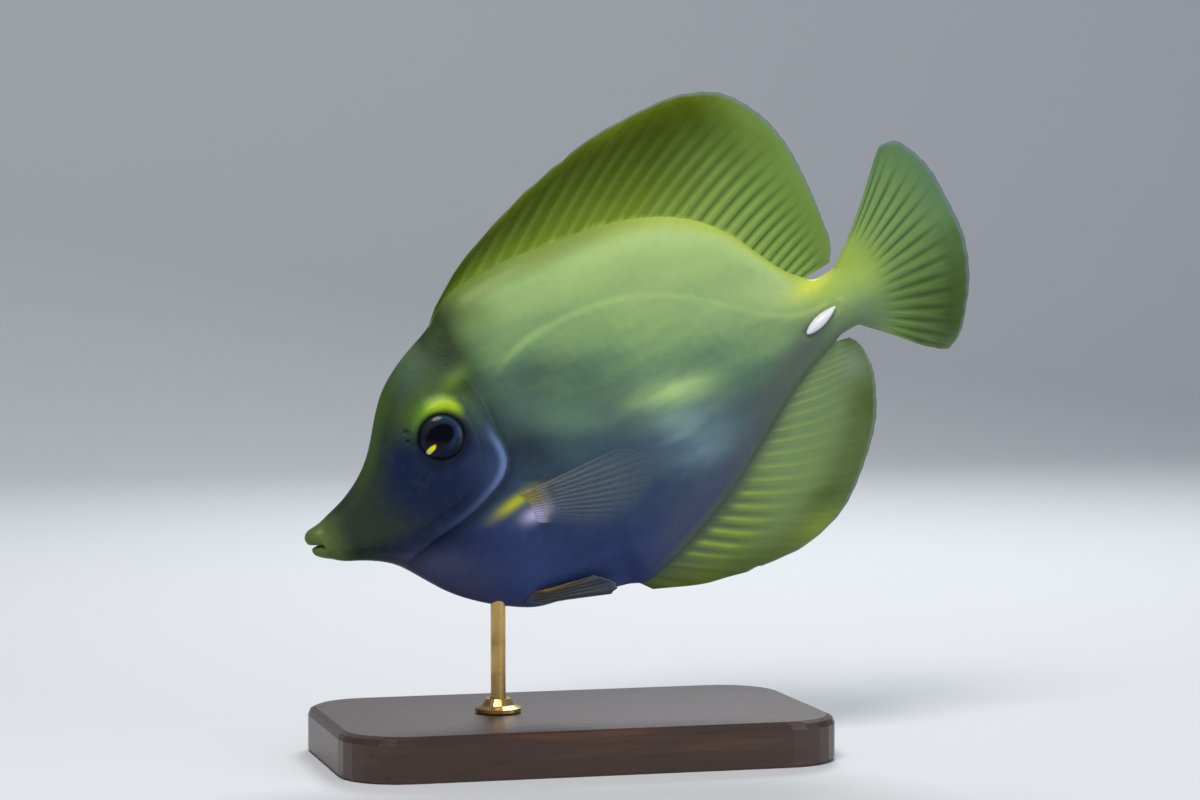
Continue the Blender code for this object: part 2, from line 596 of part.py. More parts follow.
def stand_base(wood):
    """A flat wooden base with round corners, a bevelled top edge and a blind hole for the rod."""
    corner_steps = 7
    outline = []
    for quarter in range(4):
        sx, sy = ((1, 1), (-1, 1), (-1, -1), (1, -1))[quarter]
        cx, cy = sx * (BASE_LENGTH / 2 - BASE_CORNER), sy * (BASE_WIDTH / 2 - BASE_CORNER)
        for step in range(corner_steps):
            turn = math.pi / 2 * (quarter + step / (corner_steps - 1))
            outline.append((cx + BASE_CORNER * math.cos(turn), cy + BASE_CORNER * math.sin(turn)))
    outline = np.array(outline)
    lengths = np.hypot(*outline.T)[:, None]
    levels = [(0.0, 0.6), (0.6, 0.0), (BASE_HEIGHT - BASE_BEVEL, 0.0)]
    levels += [(BASE_HEIGHT - BASE_BEVEL * 0.3, BASE_BEVEL * 0.3), (BASE_HEIGHT, BASE_BEVEL)]
    points = []
    for height, inset in levels:
        ring = outline * (1 - inset / lengths)
        points += [(BASE_X + x, y, height) for x, y in ring]
    count = len(outline)
    faces = [tuple(range(count - 1, -1, -1)), tuple(range((len(levels) - 1) * count, len(levels) * count))]
    for k in range(len(levels) - 1):
        a, b = k * count, (k + 1) * count
        faces += [(a + i, a + (i + 1) % count, b + (i + 1) % count, b + i) for i in range(count)]
    obj = mesh_object("stand_base", points, faces, wood)
    hole = rod_cylinder("hole_cutter", BASE_HEIGHT - ROD_FOOT_DEPTH - GAP, BASE_HEIGHT + 2, ROD_RADIUS + GAP)
    cut(obj, hole)
    return obj


def rod_cylinder(name, bottom, top, radius, material=None):
    """A plain upright cylinder on the rod's axis."""
    axes = (np.array([ROD_X, 0, 0]), np.array([0, 0, 1.0]), np.array([1.0, 0, 0]), np.array([0, 1.0, 0]))
    return turned(name, axes, [(bottom, 0), (bottom, radius), (top, radius), (top, 0)], 20, material)


def stand_rod(metal):
    """The rod from the base up into the breast."""
    return rod_cylinder("stand_rod", BASE_HEIGHT - ROD_FOOT_DEPTH, ROD_TOP_Z, ROD_RADIUS, metal)


def stand_collar(metal):
    """A turned collar where the rod leaves the base."""
    bottom, inner = BASE_HEIGHT + GAP, ROD_RADIUS + GAP
    profile = [
        (bottom, inner), (bottom, COLLAR_RADIUS), (bottom + 0.7, COLLAR_RADIUS),
        (bottom + 1.3, COLLAR_RADIUS * 0.72), (bottom + COLLAR_HEIGHT, inner + 0.7),
        (bottom + COLLAR_HEIGHT, inner),
    ]  # fmt: skip
    segments = 24
    turn = np.linspace(0, 2 * math.pi, segments, endpoint=False)
    points = [(ROD_X + r * math.cos(a), r * math.sin(a), z) for z, r in profile for a in turn]
    faces = []
    for k in range(len(profile)):
        a, b = k * segments, (k + 1) % len(profile) * segments
        faces += [(a + i, a + (i + 1) % segments, b + (i + 1) % segments, b + i) for i in range(segments)]
    return mesh_object("stand_collar", points, faces, metal)


def material(name, colour, roughness, metallic=0.0):
    """A plain finish."""
    made = bpy.data.materials.new(name)
    made.use_nodes = True
    shader = made.node_tree.nodes["Principled BSDF"]
    shader.inputs["Base Color"].default_value = (*colour, 1.0)
    shader.inputs["Roughness"].default_value = roughness
    shader.inputs["Metallic"].default_value = metallic
    return made


def main():
    for obj in list(bpy.data.objects):
        bpy.data.objects.remove(obj)
    skin = material("skin", (0.60, 0.58, 0.10), 0.45)
    fin = material("fin", (0.42, 0.46, 0.08), 0.5)
    eye_finish = material("eye", (0.03, 0.03, 0.04), 0.1)
    blade = material("lancet", (0.9, 0.9, 0.86), 0.3)
    wood = material("wood", (0.12, 0.06, 0.03), 0.4)
    brass = material("brass", (0.72, 0.53, 0.22), 0.3, 1.0)

    pose = bpy.data.objects.new("fish_pose", None)
    bpy.context.scene.collection.objects.link(pose)
    pieces = [head(skin), trunk(skin), tail_stalk(skin)]
    pieces.append(median_fin("dorsal_fin", DORSAL, RIDGE, 1, fin))
    pieces.append(median_fin("anal_fin", ANAL, RIDGE, -1, fin))
    pieces.append(tail_fin(fin, RIDGE))
    for word, side in (("left", LEFT), ("right", RIGHT)):
        pieces.append(paired_fin("pectoral_fin_" + word, PECTORAL, side, fin, RIDGE * 0.8))
        pieces.append(paired_fin("pelvic_fin_" + word, PELVIC, side, fin, RIDGE))
        pieces.append(eye("eye_" + word, side, eye_finish))
        pieces.append(lancet("lancet_" + word, side, blade))
    for piece in pieces:
        piece.parent = pose
    pose.location = (LIPS_X * MM, 0, LIPS_Z * MM)
    pose.rotation_euler = (0, -PITCH, 0)

    stand_base(wood)
    stand_rod(brass)
    stand_collar(brass)
    body = bpy.data.objects["trunk"]
    cut(body, rod_cylinder("rod_hole_cutter", BASE_HEIGHT + 4, ROD_TOP_Z + GAP, ROD_RADIUS + GAP))


main()
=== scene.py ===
import math

import bpy
import numpy as np
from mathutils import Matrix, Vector


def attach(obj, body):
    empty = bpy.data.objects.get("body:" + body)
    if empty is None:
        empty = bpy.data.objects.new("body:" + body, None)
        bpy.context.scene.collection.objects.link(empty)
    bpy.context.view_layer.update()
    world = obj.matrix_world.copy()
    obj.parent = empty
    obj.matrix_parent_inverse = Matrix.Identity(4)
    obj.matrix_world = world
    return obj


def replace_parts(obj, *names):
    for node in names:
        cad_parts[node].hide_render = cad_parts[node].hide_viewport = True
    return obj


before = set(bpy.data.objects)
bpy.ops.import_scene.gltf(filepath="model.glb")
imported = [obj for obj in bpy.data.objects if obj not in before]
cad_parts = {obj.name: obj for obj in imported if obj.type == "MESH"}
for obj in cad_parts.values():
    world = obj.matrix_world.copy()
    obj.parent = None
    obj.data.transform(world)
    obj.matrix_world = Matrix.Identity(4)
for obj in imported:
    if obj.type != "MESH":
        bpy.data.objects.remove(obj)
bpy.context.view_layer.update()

# The fish is shaped in millimetres in its own frame, lips at the origin: x runs back to the tail,
# z up to the back fin and -y is its left side. The pose tips that frame nose down, in metres.
pose = {"lips": (-69.4, 0.0, 44.2), "pitch": math.radians(23.0)}
standardLength = 120.0
left, right = -1.0, 1.0


def posed(points):
    # turned by the pitch about y, moved to the lips, and from millimetres to metres
    cosine, sine = math.cos(pose["pitch"]), math.sin(pose["pitch"])
    x, y, z = points[..., 0], points[..., 1], points[..., 2]
    turned = np.stack([x * cosine - z * sine, y, x * sine + z * cosine], axis=-1)
    return (turned + np.array(pose["lips"])) * 0.001


# Curves
def smoothCurve(at, xs, ys):
    # monotone cubic through (xs, ys): harmonic mean slopes, so nothing overshoots between points
    at, xs, ys = (np.asarray(v, float) for v in (at, xs, ys))
    step = np.diff(xs)
    slope = np.diff(ys) / step
    tangent = np.empty_like(ys)
    tangent[0], tangent[-1] = slope[0], slope[-1]
    before, after = slope[:-1], slope[1:]
    sameWay = before * after > 0
    weightBefore, weightAfter = 2 * step[1:] + step[:-1], step[1:] + 2 * step[:-1]
    safeBefore, safeAfter = np.where(sameWay, before, 1), np.where(sameWay, after, 1)
    mean = (weightBefore + weightAfter) / (weightBefore / safeBefore + weightAfter / safeAfter)
    tangent[1:-1] = np.where(sameWay, mean, 0)
    span = np.clip(np.searchsorted(xs, at) - 1, 0, len(xs) - 2)
    width = step[span]
    t = np.clip((at - xs[span]) / width, 0, 1)
    start = ys[span] * (1 + 2 * t) * (1 - t) ** 2 + tangent[span] * width * t * (1 - t) ** 2
    end = ys[span + 1] * t**2 * (3 - 2 * t) - tangent[span + 1] * width * t**2 * (1 - t)
    return start + end


def curveThrough(at, table):
    # a smoothCurve for each later column of the table, over its first
    table = np.array(table, float)
    return np.column_stack([smoothCurve(at, table[:, 0], column) for column in table[:, 1:].T])


def lengthAlong(points):
    return np.concatenate([[0], np.cumsum(np.hypot(*np.diff(points, axis=0).T))])


def smoothPath(points, count):
    # points along a smooth path, evenly spaced by length
    along = lengthAlong(points)
    return curveThrough(np.linspace(0, along[-1], count), np.column_stack([along, points]))


def pathDistance(x, z, path):
    # distance from each point to the nearest stretch of the path, and which side of it the point is on:
    # positive to the left of the way the path runs, seen with x to the right and z up
    nearest, side = np.full(np.shape(x), 1e9), np.zeros(np.shape(x))
    for (ax, az), (bx, bz) in zip(path[:-1], path[1:]):
        ux, uz = bx - ax, bz - az
        t = np.clip(((x - ax) * ux + (z - az) * uz) / (ux * ux + uz * uz), 0, 1)
        offX, offZ = x - ax - t * ux, z - az - t * uz
        away = np.hypot(offX, offZ)
        closer = away < nearest
        nearest = np.where(closer, away, nearest)
        side = np.where(closer, np.sign(ux * offZ - uz * offX), side)
    return nearest, side


def hump(distance, height, spread):
    # height at distance 0, falling away as a bell
    return height * np.exp(-((distance / spread) ** 2))


def ease(v, low, high):
    # 0 below low, 1 above high, and a smooth step between
    t = np.clip((v - low) / (high - low), 0, 1)
    return t * t * (3 - 2 * t)


def unit(vectors):
    return vectors / np.maximum(np.linalg.norm(vectors, axis=-1, keepdims=True), 1e-9)


# Meshes
def placed(name, data):
    # a new object of the scene
    made = bpy.data.objects.new(name, data)
    bpy.context.scene.collection.objects.link(made)
    return made


def addPiece(name, points, faces, finish, uv=None, marks=None):
    # one object from arrays: points in the fish's frame, faces as rows of 3 or 4 numbers
    mesh = bpy.data.meshes.new(name)
    mesh.from_pydata(posed(points).tolist(), [], [f for block in faces for f in block.tolist()])
    mesh.shade_smooth()
    corner = np.empty(len(mesh.loops), int)
    mesh.loops.foreach_get("vertex_index", corner)
    if uv is not None:
        layer = mesh.uv_layers.new(name="rays")
        layer.data.foreach_set("uv", uv[corner].ravel())
    for word, values in (marks or {}).items():
        attribute = mesh.attributes.new(word, "FLOAT_VECTOR", "POINT")
        attribute.data.foreach_set("vector", np.ascontiguousarray(values, float).ravel())
    mesh.materials.append(finish)
    mesh.validate()
    piece = placed(name, mesh)
    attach(piece, "root")
    print(f"{name}: {len(mesh.polygons)} faces")
    return piece


def gridFaces(columns, rows, start=0, wrap=False, flip=False):
    # quads between neighbouring columns and rows of a grid stored column by column
    i = np.arange(columns if wrap else columns - 1)[:, None]
    j = np.arange(rows - 1)[None, :]
    following = (i + 1) % columns
    corners = [i * rows + j, following * rows + j, following * rows + j + 1, i * rows + j + 1]
    quads = np.stack([c + 0 * (i + j) for c in corners], axis=-1).reshape(-1, 4) + start
    return quads[:, ::-1] if flip else quads


def closedFaces(around, rows, flip=False):
    # a grid wrapped into a tube, with a fan at each end to one more point, numbered after the grid's own
    i = np.arange(around)
    following, count = (i + 1) % around, around * rows
    fans = [np.column_stack([following * rows, i * rows, np.full(around, count)]),
            np.column_stack([i * rows + rows - 1, following * rows + rows - 1, np.full(around, count + 1)])]
    return [gridFaces(around, rows, wrap=True, flip=flip), *(f[:, ::-1] if flip else f for f in fans)]


def addPlate(name, middle, half, finish, u, v, straight=False):
    # a closed plate: the middle surface moved both ways by half the thickness, and a rim; it moves along
    # the surface's normal (the cross product of its two ways), or straight across the fish
    columns, rows = half.shape
    count = columns * rows
    normal = unit(np.cross(np.gradient(middle, axis=0), np.gradient(middle, axis=1)))
    facing = np.sign(normal[..., 1].mean())
    normal = np.array([0, facing, 0]) if straight else normal * facing
    points = np.concatenate([(middle + s * normal * half[..., None]).reshape(-1, 3) for s in (-1, 1)])
    number = np.arange(count).reshape(columns, rows)
    rim = np.concatenate([number[:, 0], number[-1, 1:], number[-2::-1, -1], number[0, -2:0:-1]])
    following = np.roll(rim, -1)
    faces = [gridFaces(columns, rows), gridFaces(columns, rows, count, flip=True),
             np.column_stack([following, rim, rim + count, following + count])]
    uv = np.stack(np.broadcast_arrays(u, v), axis=-1).reshape(-1, 2)
    return addPiece(name, points, faces, finish, np.concatenate([uv] * 2),
                    {"place": np.concatenate([middle.reshape(-1, 3)] * 2)})


# Materials
def paint(colour):
    # a screen colour of 0 to 255, as the linear colour a shader takes
    share = np.array(colour) / 255
    linear = np.where(share <= 0.04045, share / 12.92, ((share + 0.055) / 1.055) ** 2.4)
    return (*linear.tolist(), 1)


class Reading:
    # a number in a material; the signs and words of mathNodes add Math nodes to it
    def __init__(self, finish, socket):
        self.finish, self.socket = finish, socket

    def combine(self, kind, *others):
        made = self.finish.node("ShaderNodeMath", {"operation": kind}, [self, *others])
        return Reading(self.finish, made.outputs[0])

    def bell(self, spread):
        # 1 at nought, fading by spread
        return (self * self * (-1 / spread**2)).exp()

    def step(self, low, high):
        # 0 at low and 1 at high, smoothly
        settings = {"interpolation_type": "SMOOTHSTEP"}
        sockets = {"Value": self, "From Min": low, "From Max": high}
        return Reading(self.finish, self.finish.node("ShaderNodeMapRange", settings, sockets).outputs[0])


mathNodes = {
    "__add__": "ADD", "__sub__": "SUBTRACT", "__mul__": "MULTIPLY", "__truediv__": "DIVIDE",
    "__pow__": "POWER", "size": "ABSOLUTE", "exp": "EXPONENT", "sine": "SINE", "fraction": "FRACT",
    "least": "MINIMUM", "most": "MAXIMUM",
}
for word, kind in mathNodes.items():
    setattr(Reading, word, lambda self, *others, kind=kind: self.combine(kind, *others))


class Finish:
    # a material with one Principled shader, and the palette that its colour words stand in
    def __init__(self, name, palette=None, **fixed):
        self.palette = palette
        self.material = bpy.data.materials.new(name)
        self.material.use_nodes = True
        self.tree = self.material.node_tree
        self.shader = self.tree.nodes["Principled BSDF"]
        for word, value in fixed.items():
            self.shader.inputs[word.replace("_", " ")].default_value = value

    def feed(self, target, value):
        # a link or a value into a node's input; a colour is a word of the palette or red, green and blue
        if isinstance(value, str):
            value = self.palette[value]
        if isinstance(value, tuple) and target.type == "RGBA":
            value = paint(value)
        if isinstance(value, Reading):
            value = value.socket
        if isinstance(value, bpy.types.NodeSocket):
            self.tree.links.new(value, target)
        else:
            target.default_value = value

    def node(self, kind, settings=None, sockets=None):
        # one node: its settings first, then numbers or links for its sockets, by name or in order
        made = self.tree.nodes.new(kind)
        for word, value in (settings or {}).items():
            setattr(made, word, value)
        for key, value in sockets.items() if isinstance(sockets, dict) else enumerate(sockets or []):
            self.feed(made.inputs[key], value)
        return made

    def parts(self, socket):
        # the three numbers of a vector
        return [Reading(self, out) for out in self.node("ShaderNodeSeparateXYZ", None, [socket]).outputs]

    def attribute(self, word):
        return self.node("ShaderNodeAttribute", {"attribute_name": word}).outputs["Vector"]

    def uvPlace(self):
        return self.node("ShaderNodeUVMap", {"uv_map": "rays"}).outputs[0]

    def stretched(self, vector, scale):
        return self.node("ShaderNodeVectorMath", {"operation": "MULTIPLY"}, [vector, scale]).outputs[0]

    def noise(self, scale, detail=3, rough=0.5, vector=None):
        # over the object's own place or another vector, with one scale or one for each way
        vector = vector or self.node("ShaderNodeTexCoord").outputs["Object"]
        if isinstance(scale, tuple):
            vector, scale = self.stretched(vector, scale), 1
        sockets = {"Vector": vector, "Scale": scale, "Detail": detail, "Roughness": rough}
        return Reading(self, self.node("ShaderNodeTexNoise", None, sockets).outputs["Fac"])

    def ramp(self, value, stops):
        # the colours of the stops, each given after the value that it belongs to
        low, high = stops[0][0], stops[-1][0]
        made = self.node("ShaderNodeValToRGB", None, [(value - low) * (1 / (high - low))])
        elements = made.color_ramp.elements
        spots = [((at - low) / (high - low), paint(colour)) for at, *colour in stops]
        for end in (0, -1):
            elements[end].position, elements[end].color = spots[end]
        for spot, colour in spots[1:-1]:
            elements.new(spot).color = colour
        return made.outputs[0]

    def mixed(self, share, first, second):
        # from the first colour to the second by share
        return self.node("ShaderNodeMix", {"data_type": "RGBA"}, {0: share, 6: first, 7: second}).outputs[2]

    def layered(self, coat, *layers):
        # colours laid over the coat one after another, each by its own share
        for share, tint in layers:
            coat = self.mixed(share, coat, tint)
        return coat

    def done(self, coat, roughness, height=None, distance=0):
        # colour, roughness and relief, its height in shares of distance, which is in metres
        self.feed(self.shader.inputs["Base Color"], coat)
        self.feed(self.shader.inputs["Roughness"], roughness)
        if height is not None:
            bump = self.node("ShaderNodeBump", None, {"Height": height, "Distance": distance, "Strength": 1})
            self.feed(self.shader.inputs["Normal"], bump.outputs[0])
        return self.material


def oval(a, h, x, z, wide, high, lean=0):
    # 1 at a place on the side, fading over an oval that may lean
    return ((((a - x) / wide) ** 2 + ((h - z + (a - x) * lean) / high) ** 2) * -1).exp()


fishPaint = {
    # from the belly up to the back, each with its height above the lips as the fish is posed: the fish's own
    # yellow-green at the top, with painted shade and blue water light making it darker and bluer lower down
    "shadedFlanks": [(-8, 54, 70, 120), (1, 44, 61, 104), (9, 48, 69, 96), (17, 55, 76, 95), (25, 72, 100, 92),
        (31, 82, 112, 92), (35, 100, 134, 100), (39, 120, 154, 104), (45, 142, 174, 112),
        (52, 158, 188, 118), (60, 170, 200, 124), (66, 178, 206, 132)],
    # the tail's stalk and the root of the tail fin, from below up, darker below as painted shade
    "stalk": [(-6.5, 94, 116, 88), (-3, 114, 140, 96), (0, 145, 173, 98), (3, 163, 190, 90),
        (6.5, 156, 180, 80)], "crest": (185, 209, 133), "seam": (180, 200, 78), "finSeamShade": (116, 136, 42),
    "yellow": (218, 228, 88), "patch": (168, 202, 132), "sideLine": (178, 206, 126),
    "shoulder": (82, 106, 34), "lowFlankWaterLight": (114, 144, 156), "finBandShade": (88, 98, 88), "lowBandShade": (70, 78, 106),
    "finEdge": (96, 108, 88), "bellyRimLight": (86, 98, 150), "shade": (34, 48, 60), "cheek": (15, 29, 62),
    "throat": (70, 74, 108), "jaw": (66, 70, 52), "snout": (44, 53, 40), "lips": (88, 104, 54),
    "forehead": (70, 96, 32), "nape": (34, 45, 18), "brow": (168, 202, 20), "browFront": (104, 150, 28),
    "temple": (108, 138, 52), "gillRimHighlight": (108, 130, 178), "gillWaterLight": (62, 84, 122), "creaseShade": (14, 20, 34),
    "axil": (186, 190, 42), "finBaseGlint": (206, 204, 240),
    # soft patches of tone, the first two a painted pale sheen on the mid flank and on the temple, the third
    # painted shade low on the breast: place, reach along and up, lean, share and colour
    "patchesAndSheen": [(57.5, 1.2, 9, 3.2, 0.42, 0.5, (104, 136, 112)), (39.4, 10.2, 2.6, 4.5, 0, 0.35,
        (104, 136, 112)), (30, -14.5, 7, 6, 0, 0.45, (22, 40, 84)), (93, 7, 7, 4, 0.42, 0.3,
        (170, 200, 132)), (85.5, -12.5, 5, 5, 0, 0.4, (112, 138, 140)), (77.5, -8.5, 4.5, 3, 0.42, 0.45,
        (140, 176, 158)), (51, 34.5, 7, 2.2, -0.1, 0.5, (92, 120, 36))],
}


def skinFinish():
    finish = Finish("tangSkin", fishPaint, Coat_Weight=0.08, Coat_Roughness=0.2, Specular_IOR_Level=0.12)
    a, _, h = finish.parts(finish.attribute("place"))
    gill, lateral, fold = finish.parts(finish.attribute("lines"))
    fromBack, fromBelly, eyeAway = finish.parts(finish.attribute("edges"))
    browAway = finish.parts(finish.attribute("face"))[0]
    soft = finish.noise(45, 1.5) - 0.5
    fine = finish.noise(500, 4) - 0.5
    brushed = finish.noise((0.06, 0.05, 0.2), 2, vector=finish.attribute("place")) - 0.5

    def blot(*where):
        return oval(a, h, *where)

    # the flank by its height in the pose, darker and bluer lower down as painted shade and blue water light,
    # with soft bars where the muscles lie beneath
    level = a * 0.39 + h * 0.92
    bars = ((a + h.size() * 0.3 + soft * 4) * 2.3).sine()
    shadedFlanks = finish.ramp(level + soft * 10 + brushed * 14 + bars * 0.2, fishPaint["shadedFlanks"])
    alongFin = a.step(57, 70) * a.step(117, 108)
    nearFin = (fromBack + a.step(60, 90) * 1.4).step(5, 0.8) * a.step(40, 50) * a.step(122, 116)
    body = finish.layered(
        shadedFlanks,
        (blot(45.5, 30.5, 6, 6, 0.5) * 0.6, "shoulder"),
        # painted blue water light low on the rear flank
        (blot(78.6, -12.6, 7.2, 7.4, 0.3) * (brushed * 2.4 + 0.9), "lowFlankWaterLight"),
        (blot(77.2, -1.8, 8.5, 3.5, 0.22) * (brushed * 2.4 + 0.9), "patch"),
        (blot(46.5, 0, 5, 5.5, 0.4) * 0.85 + blot(54, 13, 9, 4, 0.3) * 0.4, "shade"),
        # painted light: the back paler along its top and over the upper stalk, where light from above falls
        (fromBack.step(8, 1) * a.step(56, 90) * 0.8, "crest"),
        (blot(108, 6.5, 9, 4, 0.35) * 0.6, "crest"),
        ((a + (h - 4) * -0.5).step(106, 117), finish.ramp(h, fishPaint["stalk"])),
        # painted shade: a darker band low on the body above the anal fin, bluer towards the front
        ((fromBelly - 4 + soft * 3).bell(4.8) * alongFin * 0.9,
         finish.mixed(a.step(74, 104), "lowBandShade", "finBandShade")),
        (fromBelly.step(2.4, 0.2) * alongFin * 0.7, "finEdge"),
        # painted light: a pale blue rim of water light along the belly's lower edge
        (fromBelly.step(3.6, 0.2) * a.step(12, 24) * a.step(60, 54) * 0.5, "bellyRimLight"),
        # along the back fin's base: the fish's own yellow at the rear, and painted shade in olive where the
        # fin meets the back further forward
        (nearFin * 0.8, finish.mixed(a.step(70, 100), "finSeamShade", "seam")),
        (blot(114, 5.5, 4.4, 1.8, -0.1) * 0.85, "yellow"),
        (lateral.bell(0.7) * (soft + 0.4) * a.step(44, 55), "sideLine"),
    )
    # head: a navy cheek that is painted shade and blue water light, olive snout and forehead, a dark olive
    # band above the gill cover that is painted shade, and a yellow brow, the fish's own colour painted
    # bright where light falls on its upward face
    slope = h - (a - 31).size() * 0.4 + soft * 5
    brow = browAway.bell(1.35) * 1.2 * a.step(37.8, 35.2) * a.step(25.6, 28)
    brow = (brow * (a.step(26.5, 32) * 0.65 + 0.35)).least(1)
    face = finish.layered(
        "cheek",
        (slope.step(5, 15), "forehead"),
        ((h + 7 + (a - 12) * 0.35).step(2, -5), finish.mixed(a.step(20, 9), "throat", "jaw")),
        ((a + h * 0.5 + soft * 8).step(24, 10) * h.step(-9, -4), "snout"),
        ((fromBack + soft * 4).step(10, 2) * a.step(36, 28) * 0.8, "snout"),
        (fromBack.step(4, 0.5) * a.step(38, 30) * a.step(8, 20) * 0.55, "forehead"),
        ((a + soft * 3).step(8.5, 2), "lips"),
        (brow, finish.mixed(a.step(29, 33), "browFront", "brow")),
    )
    patchesAndSheen = [(blot(*where) * most * (brushed + 1), tint) for *where, most, tint in fishPaint["patchesAndSheen"]]
    # painted shade: a dark olive band from the back fin's start down along the top of the gill cover
    nape = blot(37.4, 25.4, 6, 6.6) + blot(41, 31.5, 5, 5) * 0.6 + blot(41.5, 17, 3.4, 7) * 0.6
    # painted highlight: a pale blue rim of light along the gill cover's edge
    rim = (gill + 0.7).bell(0.8) * (blot(40.5, 0.5, 6, 5.5) * 0.8 + h.step(9, 3) * a.step(18, 40) * 0.35)
    # painted shade: dark just behind the gill cover's edge, along the cheek's fold and in the groove round
    # the eye
    creaseShade = ((gill - 1.1).bell(1) * 0.55).most((gill - 1.4).bell(2.2) * 0.35) * h.step(14, 9)
    coat = finish.layered(
        body,
        ((gill.step(0.3, -0.3) * h.step(28, 14)).most(a.step(36, 24)), face),
        *patchesAndSheen,
        (nape.least(1) * 0.9, "nape"),
        (blot(38.2, 18.2, 3.2, 1.5, -0.3) * 0.6, "temple"),
        # painted blue water light on the gill cover near its rear edge
        (blot(38.8, -1.5, 5.5, 6.5) * gill.step(0.2, -0.4) * 0.5, "gillWaterLight"),
        (rim, "gillRimHighlight"),
        (creaseShade * (h.step(-12, -4) * 0.6 + 0.4), "creaseShade"),
        (fold.bell(0.7) * 0.15 + (eyeAway - 4.7).bell(1) * 0.8, "creaseShade"),
        (blot(39.4, -8.8, 4.2, 1.2, -0.2) * gill.step(0, 0.6), "axil"),
        # painted highlight: a pale lavender glint at the pectoral fin's base
        (blot(42.6, -12.6, 2.8, 1.5) * gill.step(0, 0.6), "finBaseGlint"),
        ((fine * 0.06).most(0), "crest"),
        ((fine * -0.25).most(0), "shade"),
    )
    # tiny scales, no bigger than half a millimetre
    across = finish.stretched(finish.attribute("place"), (2.6, 1.5, 1.9))
    cells = finish.node("ShaderNodeTexVoronoi", None, {"Vector": across, "Scale": 1})
    scales = Reading(finish, cells.outputs["Distance"])
    return finish.done(coat, scales * 0.14 + fine * 0.2 + 0.36, scales * -0.8 + fine * 0.6, 0.00005)


# Body
# Stations of the body: place, back line, belly line, half width, widest level, crest under a fin,
# and how full the flank is (0.5 is an ellipse). Those past the stalk's end run out in the tail fin.
stations = np.array([
    (0, -0.5, -2.7, 0.9, -1.6, 0.4, 0.5), (0.35, 0.7, -3.7, 1.8, -1.6, 0.5, 0.5),
    (1.6, 2.1, -5, 2.5, -1.6, 0.6, 0.5), (3, 1.95, -5.4, 2.2, -1.8, 0.6, 0.5),
    (5, 2.9, -6.6, 2.9, -1.9, 0.7, 0.5), (9, 4.4, -8.3, 3.7, -2, 0.7, 0.52),
    (14, 7.4, -11.4, 4.9, -2, 0.8, 0.55), (18, 11.4, -16.4, 5.9, -1.6, 0.9, 0.58),
    (21, 16, -20.3, 6.5, -1, 1, 0.6), (25, 21.1, -24.1, 7.1, -0.6, 1, 0.62),
    (31, 25.3, -28.3, 7.9, -0.4, 1, 0.66), (37.5, 28.4, -31.4, 8.4, -1, 1.4, 0.7),
    (45, 32.8, -32.5, 8.6, -1.8, 1.6, 0.74), (53, 34, -34.3, 8.5, -2, 1.6, 0.78),
    (59, 34.2, -35.2, 8.2, -2, 1.6, 0.8), (65, 33.9, -33.8, 7.8, -1.5, 1.6, 0.8),
    (73, 33.5, -30.6, 7, -0.6, 1.6, 0.8), (82, 32.3, -26.2, 6, 0.6, 1.6, 0.78),
    (91, 29.6, -20.5, 4.9, 1.6, 1.5, 0.76), (98, 25.5, -15.5, 4.1, 1.8, 1.4, 0.72),
    (103, 20.5, -12.3, 3.6, 1.4, 1.4, 0.68), (107, 14.4, -10.2, 3.2, 0.6, 1.3, 0.62),
    (111, 8.8, -8.4, 2.9, 0, 1.2, 0.56), (115.5, 5.9, -6.8, 2.7, -0.4, 1.1, 0.5),
    (121.5, 6.6, -6.2, 1.8, 0.1, 0.9, 0.5), (124, 7.3, -6.8, 0.75, 0.2, 0.2, 0.5),
    (126, 7.6, -7, 0.1, 0.2, 0.05, 0.5),
])

# The lips in front of 5 mm, from the pole inside the mouth outwards: order, place, top, bottom,
# half width, level, and how far the corners of the mouth stand behind the middle.
lipRings = np.array([
    (-4.6, 4.2, -1.42, -1.55, 0.3, -1.48, 0.2), (-3, 2.7, -1.32, -1.6, 1.1, -1.45, 1.2),
    (-1.6, 1.1, -1.2, -1.62, 1.65, -1.4, 2.2), (-0.9, 0.3, -1.05, -1.68, 1.9, -1.36, 2.9),
    (-0.2, -0.3, -0.6, -2.1, 2.15, -1.3, 3.1), (0.6, -0.5, 0.35, -2.95, 2.35, -1.3, 2.9),
    (1.5, -0.05, 1.3, -3.85, 2.52, -1.35, 2.3), (2.4, 0.95, 1.9, -4.7, 2.64, -1.45, 1.5),
    (3.3, 2.2, 2.1, -5.25, 2.5, -1.6, 0.9), (4.2, 3.5, 2.35, -5.85, 2.6, -1.75, 0.4),
])

skinShape = {
    "ringsInMouth": 26, "ringsOnHead": 176, "ringsBehind": 158, "pointsASide": 132,
    "sheathHeight": 0.9, "sheathTurn": 0.2, "mouthDroop": 0.28, "chinSlant": 0.35,
    # swellings: place, reach along and up, and height
    "mounds": {"cheek": (30, -1.5, 8, 6, 0.4), "temple": (38.4, 17.8, 2.8, 1.8, 0.35),
               "pectoral base": (42.8, -10.6, 2.6, 4.4, 0.7), "pelvic base": (36.5, -28.4, 3.2, 2, 0.5),
               "vent": (55.2, -34.4, 1.6, 1, -0.5)},
    # furrows: depth, spread and path
    "furrows": {"nose": (0.35, 1, [(26, 5.6), (21.5, 2.6), (15.5, -0.4)]),
                "mouth fold": (0.22, 0.5, [(3.4, 1), (4.6, -1.6), (4.5, -4.4)]),
                "chin": (0.18, 0.8, [(5, -5.2), (12, -7.6), (18, -10.4)]),
                "fin base": (0.35, 0.9, [(42.6, -5.6), (46.4, -7.6), (46.6, -12.4), (43, -15.6)])},
    # nostrils: place and radius
    "nostrils": [(25.4, 12.4, 0.6), (24.9, 10.7, 0.42)],
}

